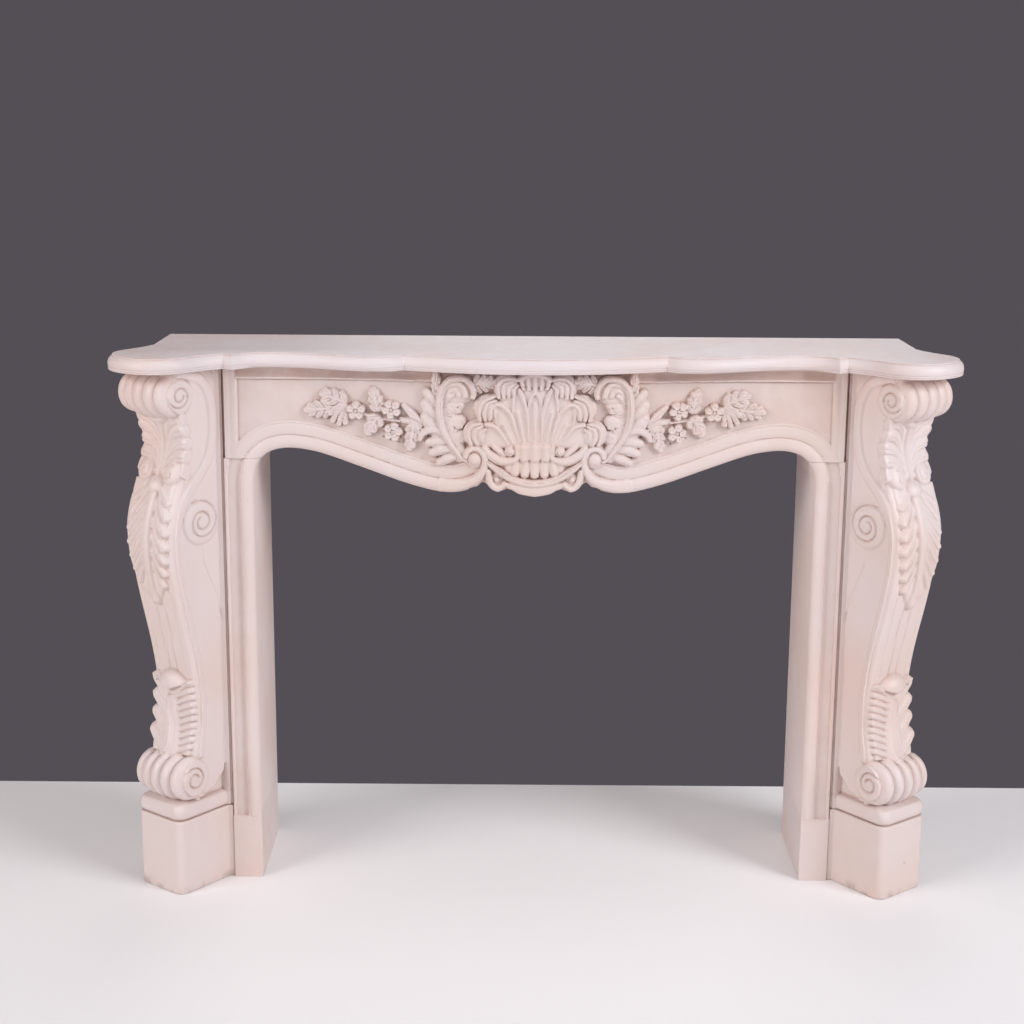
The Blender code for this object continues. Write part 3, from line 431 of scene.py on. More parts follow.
def carve_spray(r, side):
    """One side's flowers and leaves on their stem."""
    leaves = [((0.401, 0.99), (0.455, 0.984), 0.0185, 3, 0),
              ((0.372, 1), (0.425, 1.019), 0.0185, 3, 0.05),
              ((0.306, 0.985), (0.319, 1.036), 0.0145, 3, 0),
              ((0.303, 0.977), (0.329, 0.936), 0.0185, 2, 0.08),
              ((0.236, 0.962), (0.248, 0.906), 0.0145, 3, 0)]
    h = RELIEF * 0.72
    for a, b, width, pairs, bend in leaves:
        r.oak(*mirrored(side, (a, b)), width, h, pairs, bend * side)
    for k in range(4):
        start = (0.373 - 0.003 * k, 0.9975 - 0.0032 * k)
        end = ((0.4005, 0.98), (0.3965, 0.9655), (0.385, 0.959), (0.3725, 0.962))[k]
        bend = (0.62 * end[0] + 0.38 * start[0], 0.38 * end[1] + 0.62 * start[1])
        r.bar(drawn(side, [start, bend, end], 4), [0.004, 0.0058, 0.0062], scaled(h, 0.7, 1, 1), 0.25)
    r.bar(mirrored(side, [(0.2214, 0.967), (0.24, 0.982), (0.256, 0.998)]), [0.004, 0.0085, 0.0055],
          scaled(h, 0.7, 1, 0.7), 0.25)
    r.bar(mirrored(side, [(0.2214, 0.96), (0.24, 0.968), (0.262, 0.972)]), [0.004, 0.0065, 0.004],
          scaled(h, 0.6, 0.8, 0.6), 0.25)
    stem = [(0.215, 0.95), (0.245, 0.964), (0.29, 0.97), (0.33, 0.978), (0.372, 0.992), (0.402, 0.992)]
    r.bar(drawn(side, stem), 0.0032, h * 0.55)
    for n, (x, z) in enumerate(((0.351, 0.986), (0.281, 0.99), (0.278, 0.946))):
        r.flower((side * x, z), 0.0185, RELIEF * 0.92, 0.3 + 0.5 * n)
    r.holes(side, [(0.262, 0.966), (0.266, 0.925), (0.296, 0.935)], 0.0022, 0.006)


def frieze_relief(x, z):
    d, _ = to_path(np.abs(x), z, ARCH_TO_FLOOR)
    top = TOP_OF_LEGS - z
    side_line = 0.5866
    height = moulding(d, FIELD)
    frame_line = (np.abs(x) > side_line) | (top < 0.023)
    height = np.where(frame_line & (d > ROLL_WIDTH), np.maximum(height, 0.0012), height)
    bead = 0.0022 * round_top((top - 0.0222) / 0.0022)
    cove = 0.0012 - 0.01 * np.sin(math.pi * np.clip((COVE_HEIGHT - top) / COVE_HEIGHT, 0, 1)) ** 0.7
    on_top = (np.abs(x) < LEDGE_END) & (top < 0.0244)
    height = np.where(on_top, np.where(top < COVE_HEIGHT, cove, 0.0012 + bead), height)
    height = np.where((np.abs(x) < EYE[0]) & (z < EYE[1]), 0.002, height)
    relief = Relief(x, z, height)
    for side in (-1, 1):
        relief.cut(mirrored(side, [(0.5845, 1.045), (0.5845, 0.925)]), 0.0034, 0.0012)
        relief.cut(mirrored(side, [(0.599, 1.06), (0.599, 0.892)]), 0.0034, 0.0014)
    relief.cut([(-0.586, 1.0455), (0.586, 1.0455)], 0.0024, 0.0014)
    carve_shell(relief)
    for side in (-1, 1):
        carve_spray(relief, side)
        carve_scrolls(relief, side)
    carve_basket(relief)
    return relief.h


def blurred(a, rows, cols):
    """Mean over a window of a grid, by running sums."""
    for axis, half in ((0, rows), (1, cols)):
        padded = np.pad(a, [(half + 1, half) if k == axis else (0, 0) for k in (0, 1)], mode="edge")
        total = np.cumsum(padded, axis)
        n = 2 * half + 1
        a = (np.take(total, range(n, total.shape[axis]), axis)
             - np.take(total, range(0, total.shape[axis] - n), axis)) / n
    return a


def painted_shade_of(height, fine, broad):
    """From 0 on open surface to 1 in a deep recess: the amount of painted shade, darker where the surface
    lies below its neighbours.
    """
    tight = np.clip((blurred(height, *fine) - height) / 0.003, 0, 1)
    wide = np.clip((blurred(height, *broad) - height) / 0.008, 0, 1)
    return np.clip(0.65 * tight + 0.55 * wide, 0, 1)


def placed(name, data):
    """A new object in the scene."""
    made = bpy.data.objects.new(name, data)
    bpy.context.scene.collection.objects.link(made)
    return made


def piece(name, rings, painted_shade, node, material, crease):
    """A closed mesh through rings of points, with filled ends, that stands in for one CAD node."""
    rings = np.array(rings, float)
    count, size = rings.shape[:2]
    points = rings.reshape(-1, 3) + np.array((0, BACK, 0))
    r, i = np.meshgrid(np.arange(count - 1), np.arange(size), indexing="ij")
    j = (i + 1) % size
    quads = np.stack((r * size + i, r * size + j, (r + 1) * size + j, (r + 1) * size + i), -1).reshape(-1, 4)
    a, b, c, d = (points[quads[:, k]] for k in range(4))
    volume = np.einsum("ij,ij->i", a, np.cross(b, c)).sum() + np.einsum("ij,ij->i", a, np.cross(c, d)).sum()
    faces = quads.tolist() + [list(range(size))[::-1], list(range((count - 1) * size, count * size))]
    mesh = bpy.data.meshes.new(name)
    mesh.from_pydata(points.tolist(), [], faces)
    if volume < 0:
        mesh.flip_normals()
    # The per-point amount of painted shade, which the stone material mixes in as a browner colour.
    layer = mesh.attributes.new("painted_shade", "FLOAT", "POINT")
    layer.data.foreach_set("value", np.asarray(painted_shade, float).reshape(-1).astype(np.float32))
    mesh.shade_smooth()
    mesh.set_sharp_from_angle(angle=math.radians(crease))
    mesh.materials.append(material)
    made = placed(name, mesh)
    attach(made, "root")
    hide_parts(node)


def leg_point(s, w):
    return LEG_START + s * FORWARD + w * ACROSS


def ear_outline():
    root, centre_s, front, half_width, flare, squareness = 0.02, 0.095, 0.184, 0.0935, 0.013, 2.15
    steps = 18
    sides = [root + (centre_s - root) * k / 8 for k in range(8)]
    half = [(s, half_width + flare * ((centre_s - s) / (centre_s - root)) ** 2) for s in sides]
    for k in range(steps):
        angle = math.pi / 2 * k / steps
        half.append((centre_s + (front - centre_s) * math.sin(angle) ** (2 / squareness),
                     half_width * math.cos(angle) ** (2 / squareness)))
    inner = [leg_point(s, MID - w) for s, w in half]
    outer = [leg_point(s, MID + w) for s, w in reversed(half)]
    return inner + [leg_point(front, MID)] + outer


def shelf_outline():
    notch = LEG_INNER - 0.03
    break_x = 0.4345 * notch
    crest, middle_step = 0.067, 0.052
    front = [(notch, 0.053), (0.945 * notch, 0.0265), (0.87 * notch, 0.019), (0.75 * notch, 0.03),
             (0.64 * notch, 0.78 * crest), (0.55 * notch, crest), (0.48 * notch, 0.9 * crest),
             (break_x, 0.041)]
    side_front = [(x, -BODY_DEPTH - reach) for x, reach in curve(front, 8)
                  if x == notch or x < notch - 0.014]
    steps = 18
    middle = [(break_x * (1 - k / steps), -BODY_DEPTH - 0.093 + middle_step * (1 - k / steps) ** 2)
              for k in range(1, steps + 1)]
    half = [(0.768, 0)] + [tuple(p) for p in reversed(ear_outline())] + side_front + middle
    return [half[-1]] + list(reversed(half[:-1])) + [(-x, y) for x, y in half[:-1]]


def offset_outline(points, distance):
    made = []
    count = len(points)
    for i, (x, y) in enumerate(points):
        a, b = np.array(points[i - 1]), np.array(points[(i + 1) % count])
        here = np.array((x, y))
        normals = [np.array((-v[1], v[0])) / np.hypot(*v) for v in (here - a, b - here)]
        mean = normals[0] + normals[1]
        mean = mean / max(mean @ mean / 2, 0.6)
        made.append((x - math.copysign(distance, x), y) if y > -1e-9 else tuple(here + mean * distance))
    return made


def make_shelf(material):
    outline = shelf_outline()
    profile = [(0.02, 0), (0.0035, 0), (0.0016, 0.5), (0.0008, 1.6), (0.0006, 3), (0.0016, 3.8),
               (0.0006, 4.6), (0.0004, 7), (0.0013, 7.8), (0.0004, 8.6), (0, 12), (0.0004, 16),
               (0.0014, 19.6), (0.0032, 22.8), (0.0054, 25.2), (0.0074, 26.5), (0.008, 26.8),
               (0.0085, 27.1), (0.0087, 29.3), (0.0092, 29.8), (0.0106, 30)]
    rings = []
    for inset, height in profile:
        z = TOP_OF_LEGS + height / 1000
        ring = np.array(offset_outline(outline, inset + 0.0008))
        undercut = 0.007 * max(0, 1 - height / 8) ** 2 * smooth((np.abs(ring[:, 0]) - 0.27) / 0.05)
        ring[:, 1] += undercut * smooth((0.572 - np.abs(ring[:, 0])) / 0.03) * (ring[:, 1] < -BODY_DEPTH)
        rings.append([(x, y, z) for x, y in ring])
    # Painted shade in the grooves and small steps of the shelf's edge profile.
    painted_shade = np.zeros((len(rings), len(outline)))
    for k, (_, height) in enumerate(profile):
        painted_shade[k] = {26.8: 1, 27.1: 1, 29.3: 0.5, 3.8: 0.6, 7.8: 0.6}.get(height, 0)
    piece("shelf_stone_top", rings, painted_shade, "mantel_shelf", material, 32)


def spaced(parts):
    """Even steps within each part of a line: (from, to, step)."""
    made = [np.linspace(a, b, max(2, round((b - a) / step)), endpoint=False) for a, b, step in parts]
    return np.concatenate(made + [[parts[-1][1]]])


def make_frieze(material):
    half = spaced([(0, 0.225, 0.00135), (0.225, 0.455, 0.0022), (0.455, 0.575, 0.0045),
                   (0.575, FRIEZE_END, 0.003)])
    columns = np.concatenate((-half[:0:-1], half))
    rows = 154
    low = lower_edge(columns) + JOINT_GAP
    share = np.linspace(0, 1, rows)
    x = np.repeat(columns[:, None], rows, 1)
    z = low[:, None] + (TOP_OF_LEGS - JOINT_GAP - low[:, None]) * share[None, :]
    height = frieze_relief(x, z)
    # Painted shadow in the cove under the shelf, painted shade over the sunk field for the shelf's overhang,
    # and painted shade in the carving's hollows.
    shaded = (TOP_OF_LEGS - z < COVE_HEIGHT) & (height < 0.0015) & (np.abs(x) < LEDGE_END)
    field = 0.5 * smooth((0 - height) / 0.0025)
    painted_shade = np.maximum(np.maximum(painted_shade_of(height, (2, 2), (8, 8)), field), 0.85 * shaded)
    front = -BODY_DEPTH - bow(x) - height
    face = np.stack((x, front, z), -1)
    rear = np.stack((x[:, :2], np.full((len(columns), 2), FRIEZE_REAR), z[:, [-1, 0]]), -1)
    marks = np.hstack((painted_shade, np.zeros((len(columns), 2))))
    rings = np.concatenate((face, rear), 1)
    for end, side in ((0, -1), (-1, 1)):
        inner = rings[end].copy()
        inner[:-2, 1] = -BODY_DEPTH + 0.013
        outer = inner.copy()
        outer[:, 0] = side * (LEG_INNER - 0.0007)
        step = np.stack((outer, inner) if side < 0 else (inner, outer))
        # Painted shade on the stepped end faces, in the gap beside the leg.
        shade = np.full((2, rings.shape[1]), 0.9)
        rings = np.concatenate((step, rings) if side < 0 else (rings, step))
        marks = np.concatenate((shade, marks) if side < 0 else (marks, shade))
    piece("carved_frieze", rings, marks, "frieze", material, 62)


def make_jamb(word, side, material):
    """Reveal, roll and channel over a plain foot block, joined to the arch's moulding above."""
    foot = 0.133
    corner = ARCH[:13]
    roll = ROLL_WIDTH / JAMB_FACE
    across = np.concatenate((np.linspace(0, 1, 25) * ROLL_WIDTH / JAMB_FACE,
                             roll + (1 - roll) * np.linspace(0, 1, 19)[1:]))
    levels = [(0, 0), (0.0012, 0), (foot - 0.0012, 0), (foot, 0), (foot + 0.0015, 1)]
    levels += [(z, 1) for z in np.linspace(0.16, 0.82, 12)]
    levels += [(z, 1) for z in np.linspace(0.83, JOINT_HEIGHT - JOINT_GAP, 24)]
    rings, marks = [], []
    for z, moulded in levels:
        inner = np.interp(z, corner[:, 1], corner[:, 0])
        outer = JAMB_OUTER + 0.0011 * (1 - moulded)
        x = inner + (outer - inner) * across
        d, _ = to_path(x, np.full(len(x), z), ARCH_TO_FLOOR)
        channel = np.clip(np.minimum(d - ROLL_WIDTH, 0.0535 - d) / 0.0018, 0, 1)
        hollow = 0.0008 - 0.0066 * channel
        shaped = np.where(d < ROLL_WIDTH, moulding(d, 0), hollow)
        plain = 0.0022 - 0.0012 * (d < 0.0004)
        face = shaped * moulded + plain * (1 - moulded)
        y = -BODY_DEPTH - face
        y[-1] = -BODY_DEPTH + 0.001
        ring = [(side * inner, 0, z)] + [(side * a, b, z) for a, b in zip(x, y)] + [(side * outer, 0, z)]
        rings.append(ring)
        # Painted shade in the channel.
        shade = moulded * channel * 0.34
        marks.append(np.concatenate(([0], shade, [0])))
    piece(word + "_reveal", rings, marks, word + "_jamb", material, 42)


def make_plinth(word, side, material):
    def ring_at(inset):
        radius = PLINTH_CORNER - inset
        first = leg_point(0.001, inset)
        ring = [np.array((LEG_INNER + inset, 0)), np.array((LEG_INNER + inset, first[1])), first]
        for centre_w, start_deg in ((PLINTH_CORNER, -90), (LEG_WIDTH - PLINTH_CORNER, 0)):
            for k in range(13):
                angle = math.radians(start_deg + 7.5 * k)
                ring.append(leg_point(PLINTH_LENGTH - PLINTH_CORNER + radius * math.cos(angle),
                                      centre_w + radius * math.sin(angle)))
        outer = leg_point(0, LEG_WIDTH - inset)
        ring.append(outer + (LEG_OUTER - outer[0]) / FORWARD[0] * FORWARD)
        ring += [np.array((LEG_OUTER, ring[-1][1] + 0.004)), np.array((LEG_OUTER, 0))]
        return ring

    levels = [(0, 0.0016), (0.0005, 0.0006), (0.0016, 0)]
    levels += [(z, 0) for z in np.linspace(0.02, PLINTH_HEIGHT - 0.008, 8)]
    levels += [(PLINTH_HEIGHT - 0.003, 0), (PLINTH_HEIGHT - 0.0015, 0.0006),
               (PLINTH_HEIGHT - JOINT_GAP, 0.0018)]
    rings = [[(side * p[0], p[1], z) for p in ring_at(inset)] for z, inset in levels]
    painted_shade = np.zeros((len(rings), len(rings[0])))
    # Painted shade along the top ring under the cushion and the bottom ring at the floor.
    painted_shade[-1], painted_shade[0] = 0.7, 0.5
    piece(word + "_block", rings, painted_shade, word + "_plinth", material, 40)


def console_profile(z):
    """Forward reach of the console's plain face at each height."""
    neck, belly, shaft = 0.078, 0.129, 0.075
    upper = neck + (belly - neck) * smooth((0.935 - z) / 0.2)
    lower = shaft + (belly - shaft) * (1 - smooth((0.735 - z) / 0.335))
    reach = np.where(z > 0.735, upper, lower)
    return reach + 0.012 * smooth((z - 0.925) / 0.06) + 0.01 * smooth((0.36 - z) / 0.08)


TOP_ROLL = ((0.097, 1.022), 0.039)
LOW_ROLL = ((0.091, 0.238), 0.042)
VOLUTE = ((0.05, 0.766), 0.046)


def roll_reach(z, w, centre, radius):
    """Five full reeds across a roll that swells in its middle."""
    t = (w / LEG_WIDTH - 0.5) * 2
    within = np.mod(2.5 * (t + 1), 1) * 2 - 1
    depth = 0.0085 if centre[1] > 0.5 else 0.013
    r = radius + 0.009 * (1 - t ** 2) - depth * (1 - round_top(np.abs(within) * 0.97))
    inside = np.clip(r ** 2 - (z - centre[1]) ** 2, 0, None)
    return np.where(inside > 0, centre[0] + np.sqrt(inside), 0)


def roll_overhang(s, z):
    """How far the ends of the two rolls stand out beyond the console's outer side."""
    out = np.zeros(np.shape(s))
    for (centre, radius), overhang in ((TOP_ROLL, TOP_OVERHANG), (LOW_ROLL, LOW_OVERHANG)):
        distance = np.hypot(np.minimum(s - centre[0], 0), z - centre[1]) / radius
        out = np.maximum(out, overhang * round_top(np.clip(distance, 0, 1) ** 2))
    return out


def about_mid(side, points):
    return [(MID + side * x, z) for x, z in points]


def carve_console_front(r):
    """Palmette, pendant leaf, lower leaf and the channel between them, over (w, z)."""
    def strokes(points, widths, heights, crease=0, overhang=0):
        """The same bar on both sides, reaching further on the outer one by overhang."""
        far = points[-1][0]
        for side in (-1, 1):
            path = [(MID + side * x * (1 + (side > 0) * overhang / far), z) for x, z in points]
            r.bar(curve(path, 5), widths, heights, crease)

    # palmette
    off = np.abs(r.x - MID)
    ground = 0.0072 * smooth((r.z - 0.852) / 0.018) * smooth((0.992 - r.z) / 0.01)
    r.h = np.maximum(r.h, ground)
    for tip, root in (((0.048, 0.976), (0.009, 0.926)), ((0.0555, 0.952), (0.0085, 0.903)),
                      ((0.058, 0.926), (0.008, 0.886)), ((0.057, 0.9), (0.008, 0.874))):
        bend = (0.36 * tip[0] + 0.64 * root[0], 0.68 * tip[1] + 0.32 * root[1])
        strokes([root, bend, tip], [0.005, 0.01, 0.0145], [0.0075, 0.0095, 0.0108])
        for side in (-1, 1):
            for low in (0, 0.0095):
                vein = [(root[0] + 0.004, root[1] - 0.3 * low),
                        (bend[0] + 0.006, bend[1] - 0.9 * low + 0.003),
                        (tip[0] + 0.003, tip[1] - low - 0.001)]
                r.cut(curve(about_mid(side, vein), 4), 0.002, 0.0024)
    for side in (-1, 1):
        r.dome((MID + side * 0.037, 0.868), (0.0235, 0.025), 0.0165, -0.5 * side, power=2.6)
        r.cut(spiral((MID + side * 0.036, 0.867), 0.0175, 0.005, 110, side * 0.95, 30), 0.0018, 0.003)
    r.bar([(MID, 0.862), (MID, 0.925), (MID, 0.985)], [0.0065, 0.007, 0.012, 0.02],
          [0.011, 0.012, 0.0135, 0.017])
    strokes([(0, 0.97), (0.026, 0.98), (0.056, 0.986)], [0.014, 0.011, 0.0065], [0.019, 0.0165, 0.012])
    r.dome((MID, 0.843), (0.024, 0.0185), 0.0205)

    # pendant leaf
    half = np.interp(r.z, (0.606, 0.64, 0.69, 0.76, 0.848), (0.011, 0.031, 0.045, 0.05, 0.054))
    half = half + 0.016 * (r.x > MID)
    leaf = (off < half) & (r.z > 0.604) & (r.z < 0.85)
    body = 0.0066 * round_top((off / half) ** 5) * smooth((r.z - 0.604) / 0.03)
    r.h[leaf] = np.maximum(r.h[leaf], body[leaf])
    feathers = ((0.812, 0.045), (0.783, 0.048), (0.754, 0.0495), (0.725, 0.049), (0.697, 0.0455),
                (0.671, 0.04), (0.646, 0.033))
    for n, (z, reach) in enumerate(feathers):
        root_z = min(z + 0.064 - 0.003 * n, 0.848)
        bend = (0.013 + 0.24 * reach, root_z - 0.46 * (root_z - z))
        strokes([(0.01, root_z), bend, (reach, z)], [0.003, 0.0066, 0.0088], [0.008, 0.0112, 0.0122],
                0.22, 0.002)
        for side in (-1, 1):
            under = [(0.012, root_z - 0.02), (bend[0] - 0.001, bend[1] - 0.0155), (reach - 0.005, z - 0.012)]
            r.cut(curve(about_mid(side, under), 4), 0.0026, 0.003 if side < 0 else 0.0022)
            r.cut([(MID + side * (reach + 0.0035), z - 0.0125)], 0.0022, 0.004 if side < 0 else 0.0015)
    r.bar([(MID, 0.846), (MID, 0.74), (MID, 0.622)], [0.0135, 0.0125, 0.009], [0.013, 0.0145, 0.011], power=3)
    r.bar([(MID, 0.65), (MID, 0.612)], [0.009, 0.0135], [0.0105, 0.0125])

    # channel
    for side in (-1, 1):
        for x in (0.0155, 0.011):
            r.cut(about_mid(side, [(x, 0.598), (x * 0.85, 0.456)]), 0.0019, 0.002)
        r.cut(about_mid(side, [(0.043, 0.63), (0.038, 0.455)]), 0.0026, 0.0018)

    # lower leaf
    inside = (off < 0.05) & (r.z > 0.285) & (r.z < 0.44)
    rise = np.where(r.x < MID, 0.0082, 0.0095 + 0.011 * smooth((0.43 - r.z) / 0.125))
    r.h[inside] = np.maximum(r.h[inside], (rise * round_top((off / 0.05) ** 6))[inside])
    for k in range(10):
        z = 0.436 - 0.0146 * k
        out = 0.048 + 0.0045 * math.sin(math.pi * (k + 1) / 11)
        path = curve([(MID - 0.012, z - 0.019), (MID - 0.03, z - 0.0095), (MID - out, z)], 4)
        r.bar(path, [0.006, 0.007, 0.0072], [0.016, 0.0145, 0.0115], power=2.2)
        r.cut([(MID - out - 0.001, z - 0.0073)], 0.002, 0.004)
    for k in range(4):
        z = 0.429 - 0.035 * k
        top = 0.0115 + 0.0042 * k
        path = curve([(MID + 0.008, z - 0.03), (MID + 0.03, z - 0.016), (MID + 0.047, z)], 5)
        r.bar(path, [0.011, 0.016, 0.016], [top + 0.003, top + 0.0018, top], 0.1)
        r.cut(path + np.array((0.004, -0.0165)), 0.003, 0.0022)
    blade = curve([(MID + 0.002, 0.29), (MID + 0.001, 0.33), (MID, 0.385), (MID, 0.43)])
    r.bar(blade, [0.032, 0.029, 0.024, 0.02], [0.025, 0.0225, 0.018, 0.015], power=2.4)
    rib = curve([(MID, 0.29), (MID - 0.006, 0.315), (MID - 0.003, 0.35), (MID + 0.005, 0.385),
                         (MID, 0.43)])
    r.bar(rib, [0.006, 0.0045, 0.004], [0.029, 0.0262, 0.0215, 0.019])
    for side in (-1, 1):
        r.cut(rib + np.array((side * 0.0075, 0)), 0.005, 0.0018)
    r.dome((MID, 0.431), (0.0365, 0.0245), 0.0245, power=2.4)
    strokes([(0.01, 0.424), (0.038, 0.431), (0.052, 0.439)], [0.008, 0.006, 0.004], [0.023, 0.019, 0.014])
    below = r.z - (0.417 + 0.42 * off)
    beak = (off < 0.036) & (below < 0) & (below > -0.014)
    r.h[beak] = np.minimum(r.h[beak], 0.014 + 0.3 * (0.014 + below[beak]) * (below[beak] < -0.007) - 0.002)


def carve_console_side(r):
    """The S band, the volutes, the incised line and the palmette's turned edge, over (s, z)."""
    front = [(float(console_profile(z)) - 0.012, z)
             for z in (0.745, 0.69, 0.62, 0.55, 0.48, 0.41, 0.34, 0.29)]
    band = [(0.092, 1.062), (0.06, 1.0575), (0.036, 1.044), (0.017, 1.012), (0.0105, 0.965), (0.0135, 0.93),
            (0.0235, 0.895), (0.044, 0.865), (0.07, 0.838), (0.094, 0.806), (0.109, 0.775)] + front
    r.bar(curve(band), [0.01, 0.0115, 0.0115, 0.011, 0.0115, 0.012], 0.0045, power=3)
    for z, length, tall in ((0.975, 0.013, 0.0135), (0.951, 0.015, 0.0135), (0.926, 0.016, 0.0135),
                            (0.901, 0.016, 0.014), (0.868, 0.02, 0.022)):
        reach = float(console_profile(z))
        r.dome((reach, z), (length, tall), 0.005, power=3)
    r.coil(TOP_ROLL[0], 0.0365, 140, -1.9, 0.0075, 0.0026, 0.0052)
    r.coil(VOLUTE[0], VOLUTE[1], 62, 2, 0.0072, 0.003, 0.0056)
    r.coil(LOW_ROLL[0], 0.0405, -125, 1.8, 0.0075, 0.0028, 0.0056)
    line = curve([(0.047, 0.716), (0.044, 0.681), (0.026, 0.641), (0.013, 0.608), (0.002, 0.56)])
    r.cut(line, 0.0014, 0.002)
    r.cut([(0.006, 0.18), (0.006, 1.06)], 0.0013, 0.0012)


def console_face(z, w):
    face = Relief(w, z, np.zeros(w.shape))
    carve_console_front(face)
    edge = np.minimum(w - w[0, 0], w[0, -1] - w)
    rounded = 0.01 * (1 - round_top(1 - np.clip(edge / 0.01, 0, 1)))
    reach = console_profile(z) + face.h - rounded * (1 - smooth(face.h / 0.006))
    for centre, radius in (TOP_ROLL, LOW_ROLL):
        reach = np.maximum(reach, roll_reach(z, w, centre, radius) - rounded)
    cap = TOP_ROLL[0][0] + TOP_ROLL[1] / 2 - rounded
    return np.where(z > TOP_ROLL[0][1], np.maximum(reach, cap), reach)


def console_flank(z, s):
    flank = Relief(s, z, np.zeros(s.shape))
    carve_console_side(flank)
    tail = np.interp(s, (0, 0.008, 0.031, 0.065, 0.107), (0.261, 0.234, 0.21, 0.195, 0.193))
    under_tail = (z < tail) & (z > 0.19) & (s > 0.001)
    return np.where(under_tail, -0.012, flank.h)


def make_console(word, side, material):
    top = TOP_OF_LEGS - JOINT_GAP
    heights = spaced([(PLINTH_HEIGHT, 0.3, 0.0018), (0.3, 0.47, 0.0019), (0.47, 0.59, 0.004),
                      (0.59, 0.87, 0.002), (0.87, top, 0.0019)])
    rows = len(heights)
    across = 0.5 - 0.5 * np.cos(np.linspace(0, math.pi, 86))
    across = 0.35 * across + 0.65 * np.linspace(0, 1, 86)
    share = np.linspace(0, 1, 61)[:-1]
    w = LEG_RECESS + (LEG_WIDTH - 2 * LEG_RECESS) * across
    z_front, w_grid = np.meshgrid(heights, w, indexing="ij")
    reach = console_face(z_front, w_grid)
    s_side = STRIP_START + (reach[:, :1] - STRIP_START) * share[None, :]
    flank = console_flank(np.repeat(heights[:, None], len(share), 1), s_side)
    # Painted shade in the carving's hollows, and a painted shadow of the shelf over the top of the upper
    # roll.
    front_shade = np.maximum(0.72 * painted_shade_of(reach, (3, 2), (8, 6)), 0.8 * smooth((z_front - 1.036) / 0.02))
    flank_shade = painted_shade_of(flank, (3, 3), (8, 8))
    cushion, bulge = 0.034, 0.009
    rings, marks = [], []
    for i, z in enumerate(heights):
        level = (z - PLINTH_HEIGHT) / cushion
        # Painted shade on the strip in the groove between the jamb and the leg.
        mark = [0, 0.7, 0.7, 0.2, 0.2]
        base = LEG_RECESS
        if level < 1:
            base = inset = bulge * (1 - round_top(2 * level - 1))
            width = LEG_WIDTH - 2 * inset
            w_row = inset + width * across
            gap = PLINTH_CORNER - np.minimum(w_row - inset, LEG_WIDTH - inset - w_row)
            gap = np.clip(gap, 0, PLINTH_CORNER)
            front = PLINTH_LENGTH - inset - PLINTH_CORNER * (1 - round_top(gap / PLINTH_CORNER))
            s_row = STRIP_START + (front[0] - STRIP_START) * share
            inner_w = np.full(len(share), inset)
            # Painted shade at the top and bottom edges of the cushion.
            ends = max(0, 1 - min(level, 1 - level) * 6) * 0.6
            mark += [ends] * len(share) + [ends] * len(w) + [ends] * len(share)
        else:
            front, s_row, inner_w = reach[i], s_side[i], LEG_RECESS - flank[i]
            waist = 0.0065 * math.exp(-((z - 0.912) / 0.034) ** 2)
            w_row = w + across * (roll_overhang(front[-1:], z) - waist)
            mark += list(flank_shade[i]) + list(front_shade[i]) + list(flank_shade[i][::-1])
        plain_w = LEG_WIDTH - base
        outer_s = (LEG_OUTER - LEG_START[0] - plain_w * ACROSS[0]) / FORWARD[0]
        s_outer = outer_s + (front[-1] - outer_s) * share
        outer_w = LEG_WIDTH - np.interp(s_outer, s_row, inner_w)
        if level >= 1:
            outer_w += roll_overhang(s_outer, z) - waist * share ** 2
        outer_w[0] = plain_w
        inner_xy = leg_point(s_row[:, None], inner_w[:, None])
        front_xy = leg_point(front[:, None], w_row[:, None])
        outer_xy = leg_point(s_outer[::-1, None], outer_w[::-1, None])
        x, y = leg_point(STRIP_START, base)
        strip = [(LEG_INNER, 0), (LEG_INNER, y + 0.0045), (LEG_INNER + 0.004, y + 0.0045),
                 (LEG_INNER + 0.0043, y), (x, y)]
        wall = [(LEG_OUTER, outer_xy[-1, 1] + 0.004), (LEG_OUTER, 0)]
        ring = np.vstack((strip, inner_xy, front_xy, outer_xy, wall))
        rings.append(np.column_stack((side * ring[:, 0], ring[:, 1], np.full(len(ring), z))))
        marks.append(mark + [0, 0])
    piece(word + "_scroll_leg", rings, marks, word + "_console", material, 62)


